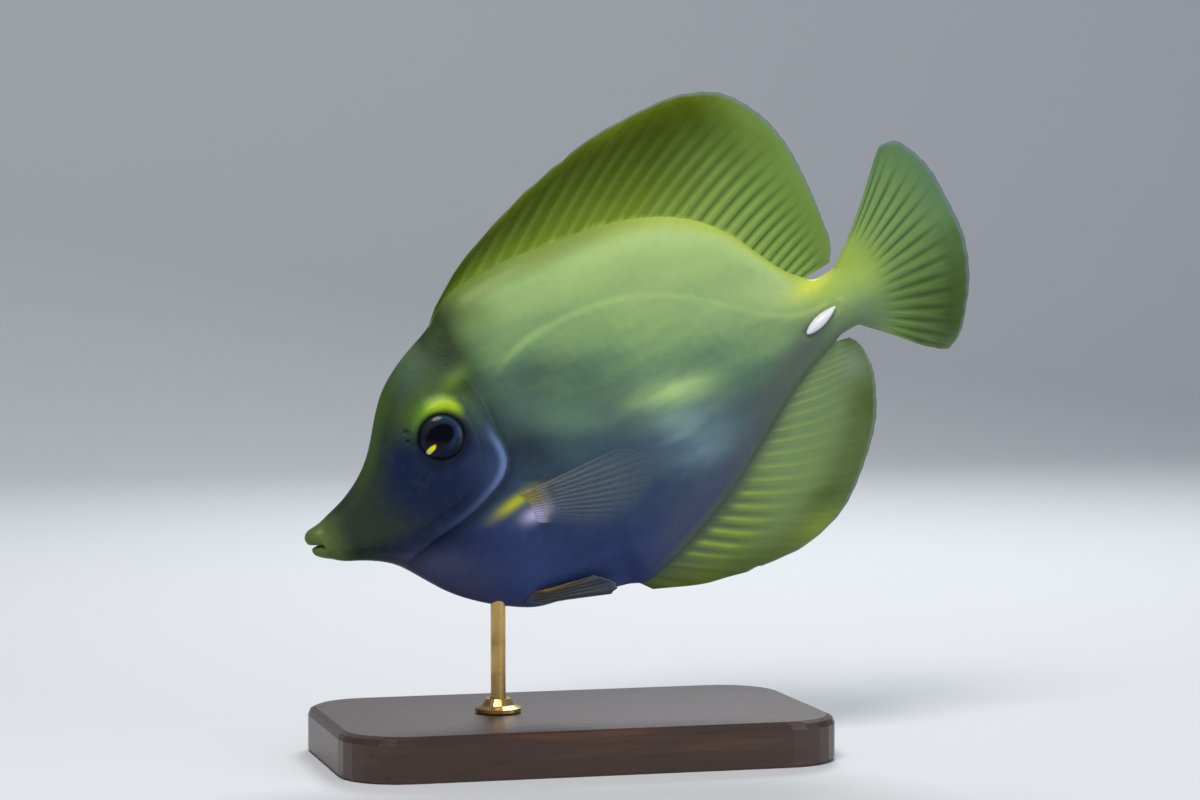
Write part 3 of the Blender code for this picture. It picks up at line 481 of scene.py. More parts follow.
gillEdge = smoothPath([
    (35.4, 36), (36.8, 28.6), (38.4, 22), (40.6, 15.5), (41.2, 9.5), (41, 5.5), (41.5, 2.5),
    (41.2, -0.2), (39.6, -2.8), (36.2, -5), (29.5, -7.7), (21.5, -9.6), (16, -12), (12, -17),
    (9, -24),
], 44)
cheekFold = smoothPath([(37.6, 11), (37.6, 6.5), (36.6, 1.6), (33.6, -2.2), (28, -4.8), (21, -6.4)], 22)
sideLine = smoothPath([
    (41.5, 14), (47.7, 17), (52.4, 18.9), (58.9, 20.1), (66.8, 20.3), (73.4, 19.6), (80.6, 17.7),
    (88, 14.2), (96, 8.6), (103, 3.6), (110, 0.9), (119, 0.4),
], 34)
browLine = smoothPath([
    (26, 11.2), (27.4, 12.8), (29.3, 14.1), (31.4, 14.9), (33.4, 14.9), (35.3, 14.1), (37.2, 12.5),
], 16)
eyeShape = {"x": 31.3, "z": 9.1, "radius": 4.5, "dome": 1.55, "depth": 3.2, "sunk": 0.15}
lancetShape = {"front": (109.2, -3.1), "rear": (117, -0.4), "halfHeight": 1.2, "thick": 1}


def softened(column):
    # a column of the stations on a quarter-millimetre grid, with its joints smoothed over 1.4 mm
    at = np.arange(0, 126.25, 0.25)
    values = smoothCurve(at, stations[:, 0], stations[:, column])
    kernel = np.exp(-(np.arange(-14, 15) * 0.25 / 1.4) ** 2)
    padded = np.concatenate([2 * values[0] - values[14:0:-1], values, 2 * values[-1] - values[-2:-16:-1]])
    blurred = np.convolve(padded, kernel / kernel.sum(), "valid")
    return at, np.where(at < 7, values, blurred)


softColumns = [softened(i) for i in range(1, 7)]


def section(x):
    return [np.interp(x, at, values) for at, values in softColumns]


def halfWidth(x, z):
    # crest + (width - crest) (1 - share^2)^fullness, where share is the height from the widest level
    back, belly, width, level, crest, fullness = section(x)
    reach = np.where(z > level, back - level, level - belly)
    share = np.clip(np.abs(z - level) / reach, 0, 1)
    return crest + (width - crest) * (1 - share**2) ** fullness


def skinRelief(x, z):
    # how far the skin stands out from the plain body, and the lines that the finish follows
    away, side = pathDistance(x, z, gillEdge)
    gill = away * side  # below nought on the head
    before = 0.85 * np.exp(np.minimum(gill, 0) / 3)
    behind = -0.42 * np.exp(-np.maximum(gill, 0) / 2)
    swap = 0.5 + 0.5 * np.tanh((gill - 0.1) / 0.22)
    cover = ease(z, 16, 11) * ease(x, 13, 19) * (before * (1 - swap) + behind * swap)
    foldAway, foldSide = pathDistance(x, z, cheekFold)
    fold = foldAway * foldSide
    folds = -hump(foldAway, 0.28, 0.55) + 0.3 * np.exp(-np.abs(fold) / 2) * (fold < 0)
    # the brow hangs over the eye, so the opening is smaller than the eye and lies lower
    eyeAway = np.hypot(x - eyeShape["x"] + 0.15, z - eyeShape["z"] + 0.5)
    orbit = hump(eyeAway - 5.5, 0.35, 1.1) * ease(z, 5, 11) - 1.6 * ease(eyeAway, 4.1, 3)
    orbit -= hump(eyeAway - 4.2, 0.5, 0.6) * (0.3 + 0.7 * ease(z, 5, 10))
    browAway = pathDistance(x, z, browLine)[0]
    sideAway = pathDistance(x, z, sideLine)[0]
    line = hump(sideAway, 0.05, 0.32) - hump(sideAway - 0.75, 0.015, 0.4)
    blade = pathDistance(x, z, [lancetShape["front"], lancetShape["rear"]])[0]
    socket = hump(blade - 1.7, 0.16, 0.5) - hump(blade, 0.4, 1.3)
    muscle = 0.02 * np.sin((x + 0.35 * np.abs(z - 2)) * 2 * math.pi / 3.4)
    out = cover + folds + orbit + hump(browAway, 0.75, 1.5) + line + socket
    out += muscle * ease(x, 44, 56) * ease(np.abs(z), 30, 18)
    for cx, cz, wide, high, height in skinShape["mounds"].values():
        out += hump(np.hypot((x - cx) / wide, (z - cz) / high), height, 1)
    for depth, spread, path in skinShape["furrows"].values():
        out -= hump(pathDistance(x, z, path)[0], depth, spread)
    for cx, cz, radius in skinShape["nostrils"]:
        pit = np.hypot(x - cx, z - cz)
        out += hump(pit - radius * 1.5, 0.22, 0.3) - hump(pit, 0.75, radius * 0.75)
    return out, gill, sideAway, foldAway, eyeAway, browAway


def curled(x, z):
    # the lower lobe of the tail, rolled to the right on a bend that tightens over 16 mm from the stalk
    run = ease(x, standardLength + 1.5, standardLength + 17.5)
    bend = 0.048 * run + 1e-6
    below = np.clip(-2 - z, 0, None)
    return (1 - np.cos(bend * below)) / bend, z + below - np.sin(bend * below) / bend


def makeSkin(finish):
    # rings round the body at each place, a point's height and width on them running with its turn from
    # the back (0) to the belly (half a turn); where a fin stands the ring rises in a sheath on the crest
    mouth = np.linspace(-4.6, 5, skinShape["ringsInMouth"], endpoint=False)
    head = np.linspace(5, 44, skinShape["ringsOnHead"], endpoint=False)
    order = np.concatenate([mouth, head, np.linspace(44, 125.9, skinShape["ringsBehind"])])[:, None]
    inLips, beyond = order < 5, np.maximum(order, 5)
    later = np.array([5, 6, 7])
    table = np.vstack([lipRings, np.column_stack([later, later, *section(later)[:4], 0 * later])])
    lips = [smoothCurve(order, table[:, 0], column) for column in table[:, 1:].T]
    body = [beyond, *section(beyond)]
    place, back, belly, width, level = (np.where(inLips, *pair) for pair in zip(lips[:5], body))
    crest, fullness = np.where(inLips, 0, body[5]), np.where(inLips, 0.5, body[6])
    setBack = np.where(inLips, lips[5], 0)
    dorsal = ease(place, 38, 47) * ease(place, 116, 112.6)
    anal = ease(place, 55.6, 60) * ease(place, 117, 113.4)
    slant = skinShape["chinSlant"] * ease(order, 5, 2)

    def rings(turn):
        above = np.cos(turn) > 0
        reach = np.where(above, back - level, level - belly)
        fromCrest = np.where(above, turn, math.pi - turn)
        finHere = np.where(above, dorsal, anal)
        z = level + reach * np.cos(turn)
        sine = np.maximum(np.sin(turn), 0)
        ridge = crest * finHere * (1 - np.exp(-((fromCrest / 0.05) ** 2)))
        y = (width - crest * finHere) * sine ** (2 * fullness) + ridge
        sheath = np.exp(-((fromCrest / skinShape["sheathTurn"]) ** 2)) * finHere
        y = y * (1 - 0.72 * sheath)
        z = z + np.where(above, 1, -1) * skinShape["sheathHeight"] * sheath
        x = place + setBack * sine**2 + slant * np.maximum(level - z, 0)
        z = z - skinShape["mouthDroop"] * setBack * sine**2
        return x, y, z

    dense = np.linspace(0, math.pi, 700)[None, :]
    x, y, z = rings(dense)
    want = 1 + 1.8 * hump(z - eyeShape["z"], 1, 8) * hump(x - 29, 1, 11)
    want += 0.8 * hump(z + 4, 1, 7) * hump(x - 36, 1, 8)
    length = np.hypot(np.diff(y, axis=1), np.diff(z, axis=1)) * want[:, 1:] + 1e-5
    travelled = np.concatenate([np.zeros((len(order), 1)), np.cumsum(length, axis=1)], axis=1)
    shares = np.linspace(0, 1, skinShape["pointsASide"])
    turn = np.array([np.interp(shares * t[-1], t, dense[0]) for t in travelled])
    x, y, z = rings(turn)
    out, gill, lateral, fold, eyeAway, browAway = skinRelief(x, z)
    out = out * np.clip(2.2 * np.sin(turn), 0, 1) * ease(order, 1, 6)
    y = np.maximum(y + out, 0)
    fromBack, fromBelly = back - z, z - belly
    sway, curledZ = curled(x, z)
    # left half from back to belly, then the right half from belly to back without its two end points
    halves = [np.stack([x, side * y + sway, curledZ], axis=-1) for side in (left, right)]
    ring = np.concatenate([halves[0], halves[1][:, -2:0:-1]], axis=1)
    count, around = ring.shape[:2]
    points = np.vstack([ring.transpose(1, 0, 2).reshape(-1, 3), ring[0].mean(axis=0), ring[-1].mean(axis=0)])

    def marked(*values):
        # the values of each point, alike on both halves, and those of the poles at the two ends
        stacked = np.column_stack([np.hstack([v, v[:, -2:0:-1]]).T.reshape(-1) for v in values])
        return np.vstack([stacked, stacked[0], stacked[count - 1]])

    marks = {"place": marked(x, y, z), "lines": marked(gill, lateral, fold),
             "edges": marked(fromBack, fromBelly, eyeAway), "face": marked(browAway, browAway, browAway)}
    skin = addPiece("tang_skin", points, closedFaces(around, count), finish, None, marks)
    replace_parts(skin, "head", "trunk", "tail_stalk")
    return skin


# Fins
# Colours of the webs from root to margin, for two ends of each fin, and of what lies over them
dorsalPaint = {
    "ends": [[(0, 124, 146, 46), (0.27, 90, 108, 22), (0.5, 66, 82, 6), (0.72, 57, 71, 1),
        (0.88, 76, 92, 6), (1, 102, 118, 28)], [(0, 132, 162, 78), (0.3, 117, 147, 66), (0.6, 100, 131, 56),
        (0.85, 110, 140, 62), (1, 118, 148, 76)]], "way": (0.92, -0.39, -14), "across": (62, 87),
    "ray": (157, 187, 94), "rayShares": (0.15, 0.6), "furrow": (58, 90, 40), "furrowShares": (0.12, 0.75),
    "lines": (-0.02, 0.02, 0.3, 0.95), "edge": (118, 136, 130), "root": (172, 186, 78), "rootRun": 0.05,
}
analPaint = {
    "ends": [[(0, 86, 98, 82), (0.2, 94, 112, 80), (0.5, 94, 114, 58), (0.8, 98, 114, 30),
        (1, 96, 110, 40)], [(0, 94, 112, 88), (0.3, 120, 145, 102), (0.6, 114, 138, 90), (0.8, 92, 110, 66),
        (1, 88, 106, 60)]], "way": (0.92, -0.39, 0), "across": (80, 106), "ray": (166, 188, 62),
    "rayShares": (0.75, 0.12), "furrow": (70, 88, 52), "furrowShares": (0.45, 0.12),
    # the root grey-olive: painted shade that the body casts over the fin's base
    "lines": (0.08, 0.2, 0.38, 0.66), "dull": 3.5, "edge": (118, 136, 124), "root": (88, 99, 82),
    "rootRun": 0.1,
    "patches": [(98, -41, 6, 3, 0.5, (150, 164, 48)), (100.5, -35.2, 4.5, 2, 0.6, (64, 80, 22)), (117, -22,
        2.6, 4, 0.5, (70, 88, 30)), (116.5, -13, 3.2, 3.6, 0.6, (134, 156, 126)), (64, -38, 7, 4, 0.45,
        (68, 76, 44)), (78, -42, 9, 2.6, 0.45, (64, 80, 54)), (95, -27, 9, 7, 0.3, (134, 164, 92))],
}
tailPaint = {
    # the first end, the lower lobe, darker than the upper: painted shade where the lobe curls to face down
    "ends": [[(0, 140, 168, 84), (0.35, 102, 130, 64), (0.6, 74, 98, 42), (0.85, 62, 86, 38),
        (1, 78, 104, 50)], [(0, 154, 184, 92), (0.35, 128, 160, 88), (0.65, 102, 138, 81),
        (1, 94, 127, 87)]], "way": (0, 1, 0), "across": (-5, 10), "ray": (138, 170, 96),
    "rayShares": (0.3, 0.45), "furrow": (46, 74, 46), "furrowShares": (0.6, 0.7),
    "lines": (0.22, 0.4, 0.6, 0.95), "edge": (112, 132, 136), "root": fishPaint["stalk"], "rootRun": 0.24,
}
pectoralPaint = {
    "ends": [[(0, 150, 146, 140), (1, 120, 130, 122)], [(0, 140, 142, 136), (1, 112, 126, 120)]],
    "way": (1, 0, 0), "across": (44, 66), "ray": (170, 172, 156), "rayShares": (0.7, 0.5),
    "furrow": (110, 118, 110), "furrowShares": (0.2, 0.2), "lines": (-0.1, 0, 0.6, 1.3),
    "edge": (132, 142, 140), "rootRun": 0.08, "leading": ((156, 148, 118), 0.5), "clear": 0.08,
    # the root pale lavender at its lower end: a painted highlight at the fin's base
    "root": [(-14.5, 206, 208, 246), (-12, 200, 200, 236), (-10.4, 164, 154, 132), (-8, 178, 178, 66)],
}
pelvicPaint = {
    "ends": [[(0, 74, 76, 76), (1, 72, 78, 82)], [(0, 70, 74, 80), (1, 66, 74, 88)]], "way": (1, 0, 0),
    "across": (38, 52), "ray": (112, 104, 76), "rayShares": (0.4, 0.3), "furrow": (60, 62, 52),
    "furrowShares": (0.3, 0.3), "lines": (-0.1, 0, 0.5, 1.1), "edge": (96, 98, 92), "root": (72, 76, 86),
    "rootRun": 0.1, "leading": ((126, 102, 66), 1.2),
}


def finFinish(name, look):
    # colour by the fin's own map, where u counts the rays and v runs out along them: webs that change
    # along the fin, with paler rays and dark furrows midway between them over one stretch of v
    finish = Finish(name, look, Coat_Weight=0.03, Coat_Roughness=0.3, Specular_IOR_Level=0.08)
    u, v, _ = finish.parts(finish.uvPlace())
    a, _, h = finish.parts(finish.attribute("place"))
    cloud = finish.noise(90) - 0.5
    fine = finish.noise(420) - 0.5
    streak = finish.noise((2.2, 3, 1), vector=finish.uvPlace()) - 0.5
    alongA, alongH, alongV = look["way"]
    across = (a * alongA + h * alongH + v * alongV + cloud * 16).step(*look["across"])
    begin, full, fading, gone = look["lines"]
    dull = look.get("dull", 0)  # rays at the front end that show no lines
    shown = v.step(begin, full) * (v + streak * 0.25).step(gone, fading)
    shown = shown * u.step(dull * 0.5 - 0.5, dull * 1.3)

    def line(shape, pair):
        # the share of a line drawn along the rays, going from the pair's first to its second over the fin
        drawn = shape * shown * (across * (pair[1] - pair[0]) + pair[0]) * (streak * 1.2 + 1)
        return drawn.most(0).least(1)

    first, second = [finish.ramp(v + cloud * 0.2 + streak * 0.12, stops) for stops in look["ends"]]
    web = finish.mixed(across, first, second)
    fromRay = ((u + 0.5).fraction() - 0.5).size()
    ridge = (fromRay - v.step(0.35, 1) * 0.2).size().bell(0.22)
    joints = ((v * 46 + u.sine() * 0.6).fraction() - 0.5).size().bell(0.16) * ridge * v.step(0.12, 0.3)
    run, root = look["rootRun"], look["root"]
    if isinstance(root, list):
        root = finish.ramp(h, root)
    coat = finish.layered(
        web,
        (line((fromRay - 0.5).bell(0.15), look["furrowShares"]), "furrow"),
        (line(ridge, look["rayShares"]), "ray"),
        (joints * 0.2, web),
        ((v + cloud * 0.1 + streak * 0.1).step(run * 2, run * 0.3), root),
        *((oval(a, h, *where) * most, tint) for *where, most, tint in look.get("patches", ())),
    )
    if "leading" in look:
        tint, run = look["leading"]
        coat = finish.mixed(u.step(1.6, 0.2) * v.step(run, 0.05), coat, tint)
    if "clear" in look:
        seen = (ridge * 0.12 + look["clear"]) * u.step(16, 5) * v.step(1.3, 0.3)
        seen = seen + v.step(0.2, 0) * 0.75 + u.step(1.6, 0.3) * v.step(0.5, 0.1) * 0.25
        finish.feed(finish.shader.inputs["Alpha"], seen.least(1))
    # painted light: a pale rim of water light along each fin's margin
    coat = finish.mixed((v + fine * 0.02).step(0.96, 0.99) * 0.75, coat, "edge")
    height = joints * -0.6 + fine * 0.5 + cloud * 0.4
    return finish.done(coat, fine * 0.3 + 0.42 - ridge * 0.08, height, 0.00006)


def rayShape(numbers, t, spines, rootHalf, web, ridge, rootRun, rise=(0, 0.06), spineRidge=0):
    # half thickness: the root's flare, a thin web, and on each ray a ridge that forks towards the margin
    away = np.abs(numbers - np.round(numbers))[:, None]
    hard = (numbers < spines - 0.5)[:, None]
    fork = np.where(hard, 0, ease(t, 0.35, 1) * 0.2)
    crest = hump(np.abs(away - fork), 1, np.where(hard, 0.17, 0.14))
    height = np.where(hard, spineRidge, ridge) * (1 - 0.8 * t) * ease(t, *rise)
    joints = 1 - np.where(hard, 0, 0.14) * hump(np.abs((t * 46) % 1 - 0.5), 1, 0.16)
    return web * (1 - 0.45 * t) + crest * height * joints + (rootHalf - web) * np.exp(-t / rootRun)


finShape = {
    "bow": 0.03, "spineNotch": 0.03, "rayNotch": 0.004, "wave": 1.3, "sunk": 1.2, "root": 0.8, "web": 0.2,
    "ridge": 0.19, "spineRidge": 0.22, "rootRun": 1.5, "edge": 0.35, "pairedNotch": 0.02, "pairedEdge": 0.4,
}
dorsalShape = {
    "rays": 29, "spines": 5, "base": (38.8, 113.2), "crowding": 0.5, "columnsARay": 13, "rows": 64,
    "margin": [(38.8, 41.4, 32.1), (41.6, 48, 37.1), (46, 57.8, 42.1), (54, 72, 47.5),
               (63, 87.5, 51), (72, 100.6, 51.7), (80, 110.3, 49.4), (91, 117.8, 41.6),
               (96, 119.9, 37), (101.3, 121.5, 30), (107, 122.2, 20), (110.6, 122.2, 13.6),
               (112.2, 121.5, 10.2), (113.2, 120.2, 7.9)],
}
analShape = {
    "rays": 23, "spines": 3, "base": (57.6, 113.8), "crowding": 0.2, "columnsARay": 13, "rows": 56,
    "margin": [(57.6, 60.2, -38), (60.5, 70, -41.4), (64.5, 80.2, -43.1), (70, 90.4, -43.5),
               (75.5, 100.4, -41.2), (86, 112, -31.8), (93, 117.8, -23.4), (100, 120.3, -15.2),
               (107, 120.2, -11.6), (111.5, 119.4, -9.2), (113.8, 118.2, -7.9)],
}


def rayNumbers(shape):
    # for each column its place counted in rays, its share of them all, and 0 on a ray to 1 between two
    numbers = np.linspace(0, shape["rays"] - 1, (shape["rays"] - 1) * shape["columnsARay"] + 1)
    between = np.sin(math.pi * np.abs(numbers - np.round(numbers))) ** 1.3
    return numbers, numbers / (shape["rays"] - 1), between


def makeMedianFin(name, shape, crestSide, finish):
    # rays stand on the crest at even shares of its length, crowding to the rear, and bow forwards on their
    # way to the margin, as a sine of their length; the soft ones sway aside in one long wave
    rays, spines = shape["rays"], shape["spines"]
    numbers, share, between = rayNumbers(shape)
    line = 0 if crestSide > 0 else 1
    crest = np.linspace(*shape["base"], 400)
    along = lengthAlong(np.column_stack([crest, section(crest)[line]]))
    share = share * (1 + shape["crowding"] * (1 - share))
    baseX = np.interp(share * along[-1], along, crest)
    tip = curveThrough(baseX, shape["margin"])
    root = np.column_stack([baseX, section(baseX)[line]])
    root = root - finShape["sunk"] * unit(tip - root)
    notch = np.where(numbers < spines - 0.5, finShape["spineNotch"], finShape["rayNotch"]) * between
    tip = tip - (tip - root) * notch[:, None]
    t = np.linspace(0, 1, shape["rows"]) ** 1.15
    side = root[:, None] + (tip - root)[:, None] * t[:, None]
    forward = crestSide * np.column_stack([root[:, 1] - tip[:, 1], tip[:, 0] - root[:, 0]])
    bowed = finShape["bow"] * smoothCurve(numbers, [0, spines + 4, rays - 7, rays - 1], [0, 1, 1, 0])
    side += (bowed[:, None] * forward)[:, None] * np.sin(math.pi * t)[:, None]
    length = np.linalg.norm(tip - root, axis=1)
    soft = smoothCurve(numbers, [0, spines, rays - 1], [0, 0.15, 1]) * length / length.max()
    sway = finShape["wave"] * np.outer(soft * np.sin(2.2 * math.pi * share + 0.6), t**1.6)
    middle = np.stack([side[..., 0], sway, side[..., 1]], axis=-1)
    half = rayShape(numbers, t, spines, finShape["root"], finShape["web"], finShape["ridge"],
                    finShape["rootRun"] / length[:, None], spineRidge=finShape["spineRidge"])
    half *= 0.5 + 0.5 * ease(numbers, 0, 2)[:, None]
    half[:, -1] *= finShape["edge"]
    return addPlate(name, middle, half, finish, numbers[:, None], t)


tailShape = {
    "rays": 17, "columnsARay": 15, "rows": 64, "swing": 0.9, "ripple": 0.35, "ridge": 0.24, "rootRun": 0.13,
    "margin": [(0, 139.4, 25.7), (0.08, 142.2, 25.5), (0.2, 145.8, 21.2), (0.36, 148.3, 13.2),
               (0.52, 149.1, 3.8), (0.68, 147.4, -6.2), (0.82, 144.4, -15.2), (0.94, 142.3, -22.5),
               (1, 141.2, -25.2)],
}


def makeTailFin(finish):
    # a fan of rays from the stalk's end; the outer ones leave it level and swing out
    numbers, share, between = rayNumbers(tailShape)
    stalkX = standardLength + 1.5
    back, belly = (float(v) for v in section(stalkX)[:2])
    root = np.column_stack([np.full_like(share, stalkX - 0.8), back - 0.25 - share * (back - belly - 0.5)])
    tip = curveThrough(share, tailShape["margin"])
    tip = tip - (tip - root) * (finShape["rayNotch"] * between)[:, None]
    t = np.linspace(0, 1, tailShape["rows"])
    side = root[:, None] + (tip - root)[:, None] * t[:, None]
    lean = (2 * share - 1) ** 2 * np.sign(0.5 - share)
    side[..., 1] -= tailShape["swing"] * np.outer(lean, np.sin(math.pi * np.clip(t * 1.15, 0, 1)))
    sway, height = curled(side[..., 0], side[..., 1])
    ripple = tailShape["ripple"] * np.outer(np.sin(share * 19), t**2)
    middle = np.stack([side[..., 0], sway + ripple, height], axis=-1)
    flare = 0.3 + 1.4 * np.sin(math.pi * share[:, None]) ** 0.6
    half = rayShape(numbers, t, 0, flare, finShape["web"], tailShape["ridge"], tailShape["rootRun"],
                    (0.16, 0.5))
    half += hump(np.minimum(share, 1 - share)[:, None], 0.28, 0.03) * (1 - 0.7 * t)
    half[:, -1] *= finShape["edge"]
    return addPlate("tang_tail_fin", middle, half, finish, numbers[:, None], t)


pectoralShape = {
    "rays": 14, "upper": (41.6, -7.6), "lower": (42.6, -14), "angles": (5, -27),
    "lengths": (23, 29.5, 14), "longest": 0.22, "standOff": 33, "curve": 0.28, "root": 0.75, "sunk": 0.9,
    "columnsARay": 11, "rows": 44, "web": 0.16, "ridge": 0.16,
}
pelvicShape = {
    "rays": 6, "upper": (37.4, -27.6), "lower": (35.6, -29.4), "angles": (-8, -17.5),
    "lengths": (12, 17.5, 16.5), "longest": 0.75, "standOff": 8, "curve": 0.5, "root": 0.6, "sunk": 1.2,
    "columnsARay": 13, "rows": 36, "web": 0.18, "ridge": 0.24,
}


def makePairedFin(name, fin, side, finish):
    # a fan from a short root on the skin; each ray leaves at its own angle, standing off and bending back
    numbers, share, between = rayNumbers(fin)
    rootX, rootZ = (up + share * (low - up) for up, low in zip(fin["upper"], fin["lower"]))
    angle = np.radians(fin["angles"][0] + share * (fin["angles"][1] - fin["angles"][0]))[:, None]
    length = smoothCurve(share, [0, fin["longest"], 1], fin["lengths"])
    length = length * (1 - finShape["pairedNotch"] * between)
    off = math.radians(fin["standOff"])
    t = np.linspace(-0.06, 1, fin["rows"])
    run = length[:, None] * t
    out = np.maximum(t, 0)
    x = rootX[:, None] + run * np.cos(angle) * math.cos(off)
    z = rootZ[:, None] + run * np.sin(angle)
    half = rayShape(numbers, out, 0, fin["root"], fin["web"], fin["ridge"], 0.09)
    half = half + hump(share[:, None], 0.3, 0.05) * (1 - 0.7 * out)
    y = halfWidth(rootX, rootZ)[:, None] + 0.3 + run * math.sin(off) * (1 - fin["curve"] * out)
    clear = halfWidth(x, z) + 0.3 + half.max(axis=0) + 0.5 * np.clip(out / 0.2, 0, 1)
    lift = ease(t, -0.03, 0.12)
    y = y + np.maximum(clear - y, 0) * lift - fin["sunk"] * (1 - lift)
    y = y + 0.25 * np.sin(share * 9)[:, None] * out**2
    middle = np.stack([x, side * y, z], axis=-1)
    half[:, -1] *= finShape["pairedEdge"]
    return addPlate(name, middle, half, finish, numbers[:, None], out)


# Eyes and blades
eyePaint = {
    "pupil": (1, 2, 12), "iris": (9, 15, 42), "upper": (34, 40, 38), "gold": (236, 228, 20),
    "pale": (170, 206, 196), "rim": (14, 22, 38), "blue": (34, 52, 88), "teal": (46, 70, 66),
}


def eyeFinish():
    # by the eye's own map, p back along the fish and q up in shares of the radius: an oval pupil on a
    # dark iris, a blue crescent and a teal edge behind it, and a gold fleck low in front
    finish = Finish("tangEye", eyePaint, Coat_Weight=0.1, Coat_Roughness=0.03, Specular_IOR_Level=0.1)
    p, q, _ = finish.parts(finish.uvPlace())
    radius = (p * p + q * q) ** 0.5
    grain = finish.noise(900) - 0.5
    across, up = (p + 0.08) * 0.97 + q * 0.2, q * 0.97 - p * 0.2 - 0.06
    pupil = ((across / 0.62) ** 2 + (up / 0.44) ** 2) ** 0.5
    fleckP, fleckQ = p + 0.69, q + 0.37
    along, off = fleckP * 0.927 + fleckQ * 0.375, fleckQ * 0.927 - fleckP * 0.375
    fleck = (oval(along, off, 0, 0, 0.33, 0.125) * 1.5 + grain * 0.3).step(0.45, 0.95)
    coat = finish.layered(
        "iris",
        (q.step(-0.1, 0.9), "upper"),
        (p.step(-0.1, 0.6) * (pupil - 1.35).bell(0.3) * 0.85, "blue"),
        ((p + q * 0.5).step(0, 0.5) * (radius - 0.86).bell(0.09) * 0.8, "teal"),
        ((pupil + grain * 0.1).step(1.12, 0.96), "pupil"),
        (radius.step(0.8, 0.95), "rim"),
        (fleck, finish.mixed(along.step(-0.02, -0.24), "gold", "pale")),
    )
    return finish.done(coat, grain * 0.1 + 0.16)


def makeEye(name, side, finish):
    # a dome, height = dome * (1 - (r / radius)^2)^0.5, on a tapering back that the skin hides, turned about
    # the skin's outward lie; the other two axes, back along the fish and up, carry the uv in radii
    step, x, z = 0.5, eyeShape["x"], eyeShape["z"]
    alongX = (halfWidth(x + step, z) - halfWidth(x - step, z)) / (2 * step)
    alongZ = (halfWidth(x, z + step) - halfWidth(x, z - step)) / (2 * step)
    outward = unit(np.array([-float(alongX), side, -float(alongZ)]))
    backward = unit(np.cross(outward, [0, 0, 1]) * side)
    upward = unit(np.array([0, 0, 1]) - outward * outward[2])
    centre = np.array([x, side * float(halfWidth(x, z)), z]) - outward * eyeShape["sunk"]
    rise = np.linspace(0, math.pi / 2, 26)[:-1, None]
    profile = np.vstack([[(-eyeShape["depth"], 0.5), (-1.2, 0.97)],
                         np.hstack([eyeShape["dome"] * np.sin(rise), np.cos(rise)])])
    turn = np.linspace(0, 2 * math.pi, 72, endpoint=False)
    flat = np.stack([np.cos(turn), np.sin(turn)], axis=-1)[:, None] * profile[:, 1:]
    points = centre + profile[:, :1] * outward + flat @ np.array([backward, upward]) * eyeShape["radius"]
    points = np.vstack([points.reshape(-1, 3), centre + profile[[0, -1], :1] * outward])
    faces = closedFaces(len(turn), len(profile), flip=np.dot(np.cross(backward, upward), outward) <= 0)
    return addPiece(name, points, faces, finish, np.vstack([flat.reshape(-1, 2), np.zeros((2, 2))]))


def bladeFinish():
    finish = Finish("tangLancet", Coat_Weight=0.6, Coat_Roughness=0.12)
    cloud = finish.noise(600, 2)
    return finish.done(finish.mixed(cloud, (236, 234, 246), (250, 250, 250)), cloud * 0.1 + 0.2)


def makeLancet(name, side, finish):
    # a leaf shape on the skin, as high as a sine of its length and rounded across
    u = np.linspace(0, 1, 60)[:, None]
    v = np.linspace(-1, 1, 21)[None, :]
    (fx, fz), (rx, rz) = lancetShape["front"], lancetShape["rear"]
    length = math.hypot(rx - fx, rz - fz)
    ux, uz = (rx - fx) / length, (rz - fz) / length
    height = lancetShape["halfHeight"] * np.sin(math.pi * np.clip(u**0.85 * 0.96 + 0.02, 0, 1)) ** 0.8
    x = fx + (rx - fx) * u - uz * height * v
    z = fz + (rz - fz) * u + ux * height * v
    rise = (lancetShape["thick"] + 0.2) * np.sin(math.pi * u) ** 0.6 * (1 - v**2) ** 0.8
    middle = np.stack([x, side * (halfWidth(x, z) - 0.1 + rise / 2), z], axis=-1)
    return addPlate(name, middle, 0.25 + rise / 2, finish, u, v, straight=True)


# Stand
def woodFinish():
    # rings of grain stretched along the base, with pores and a satin oil finish
    finish = Finish("standWood", Coat_Weight=0.25, Coat_Roughness=0.25)
    grain = finish.noise((16, 192, 192), 6, 0.6)
    band = ((grain * 9).sine() * 0.5 + 0.5) * 0.6 + grain * 0.4
    pores = finish.noise((90, 1500, 1500))
    coat = finish.layered((58, 36, 24), (band.step(0.2, 0.85), (96, 62, 40)),
                          (pores.step(0.58, 0.7) * 0.6, (30, 18, 12)))
    return finish.done(coat, pores * 0.2 + 0.3, pores * -1, 0.00008)


def brassFinish():
    # turned satin brass with fine rings and a little tarnish
    finish = Finish("standBrass", Metallic=1, Coat_Weight=0.1)
    brushed = finish.noise((300, 300, 9000), 2)
    tarnish = finish.noise(160, 4)
    coat = finish.mixed(tarnish.step(0.45, 0.75), (206, 172, 106), (160, 126, 70))
    return finish.done(coat, brushed * 0.2 + tarnish * 0.1 + 0.16, brushed, 0.00001)


def dressStand():
    wood, brass = woodFinish(), brassFinish()
    for word, finish in (("stand_base", wood), ("stand_rod", brass), ("stand_collar", brass)):
        materials = bpy.data.objects[word].data.materials
        materials.clear()
        materials.append(finish)
    print("stand dressed")


# Studio
studio = {
    "floorHalf": 2, "bend": 0.4, "wallTop": 1.4, "wallY": 0.75, "floorColour": (0.74, 0.75, 0.77, 1),
    "world": (0.8, 0.86, 1, 1), "worldStrength": 0.3,
}


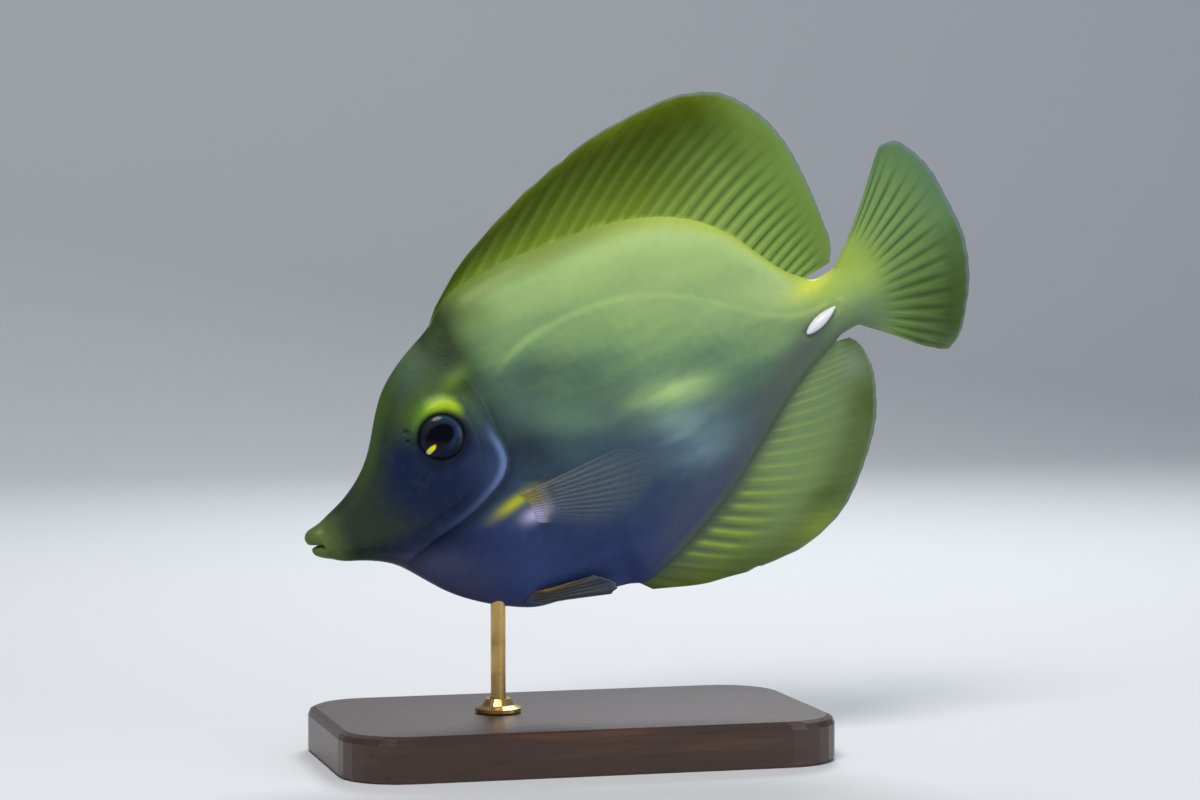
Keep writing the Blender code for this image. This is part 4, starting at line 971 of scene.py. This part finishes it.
def makeBackdrop():
    # one sheet: flat floor, a quarter round of the bend's radius behind, then an upright wall
    quarter = np.linspace(0, math.pi / 2, 24)
    bend, wall = studio["bend"], studio["wallY"]
    ys = np.concatenate([[-2.4], wall + bend * np.sin(quarter), [wall + bend]])
    zs = np.concatenate([[0], bend * (1 - np.cos(quarter)), [studio["wallTop"]]])
    xs = np.array([-studio["floorHalf"], studio["floorHalf"]])
    points = np.stack(np.broadcast_arrays(xs[:, None], ys, zs), axis=-1).reshape(-1, 3)
    mesh = bpy.data.meshes.new("backdrop")
    mesh.from_pydata(points.tolist(), [], gridFaces(2, len(ys)).tolist())
    mesh.shade_smooth()
    mesh.materials.append(Finish("backdrop", Base_Color=studio["floorColour"], Roughness=0.9).material)
    sheet = placed("backdrop", mesh)


def addLamp(name, place, target, size, power, colour):
    lamp = bpy.data.lights.new(name, "AREA")
    lamp.shape, lamp.size, lamp.energy, lamp.color = "DISK", size, power, colour
    holder = placed(name, lamp)
    holder.location = place
    holder.rotation_euler = (Vector(target) - Vector(place)).to_track_quat("-Z", "Y").to_euler()


def makeStudio():
    makeBackdrop()
    world = bpy.data.worlds.new("studio")
    world.use_nodes = True
    sky = world.node_tree.nodes["Background"]
    sky.inputs[0].default_value = studio["world"]
    sky.inputs[1].default_value = studio["worldStrength"]
    bpy.context.scene.world = world
    middle = (-0.005, 0, 0.07)
    addLamp("key", (-0.25, -0.45, 0.75), middle, 0.35, 4.6, (1, 0.98, 0.92))
    addLamp("fill", (0.6, -0.6, 0.25), middle, 0.5, 1.3, (0.86, 0.92, 1))
    addLamp("rim", (0.2, 0.5, 0.55), middle, 0.3, 2.8, (0.95, 0.98, 1))
    bpy.context.scene.view_settings.view_transform = "Standard"


camera = {
    "target": (-0.0102, 0, 0.07105), "azimuth": -15, "elevation": 3, "distance": 0.66666, "lens": 100,
}


def makeCamera():
    turn, lift = math.radians(camera["azimuth"]), math.radians(camera["elevation"])
    back = Vector((math.sin(turn) * math.cos(lift), -math.cos(turn) * math.cos(lift), math.sin(lift)))
    data = bpy.data.cameras.new("camera")
    data.lens, data.sensor_width = camera["lens"], 36
    data.clip_start, data.clip_end = 0.01, 20
    eye = placed("camera", data)
    eye.location = Vector(camera["target"]) + back * camera["distance"]
    eye.rotation_euler = (-back).to_track_quat("-Z", "Y").to_euler()
    bpy.context.scene.camera = eye


# Making
makeCamera()
makeSkin(skinFinish())
dorsalFin = makeMedianFin("tang_dorsal_fin", dorsalShape, 1, finFinish("dorsalFin", dorsalPaint))
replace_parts(dorsalFin, "dorsal_fin")
analFin = makeMedianFin("tang_anal_fin", analShape, -1, finFinish("analFin", analPaint))
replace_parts(analFin, "anal_fin")
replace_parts(makeTailFin(finFinish("tailFin", tailPaint)), "tail_fin")
pectoralFinish, pelvicFinish = finFinish("pectoralFin", pectoralPaint), finFinish("pelvicFin", pelvicPaint)
for word, side in (("left", left), ("right", right)):
    pectoral = makePairedFin("tang_pectoral_fin_" + word, pectoralShape, side, pectoralFinish)
    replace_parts(pectoral, "pectoral_fin_" + word)
    pelvic = makePairedFin("tang_pelvic_fin_" + word, pelvicShape, side, pelvicFinish)
    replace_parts(pelvic, "pelvic_fin_" + word)
    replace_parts(makeEye("tang_eye_" + word, side, eyeFinish()), "eye_" + word)
    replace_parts(makeLancet("tang_lancet_" + word, side, bladeFinish()), "lancet_" + word)
dressStand()
makeStudio()
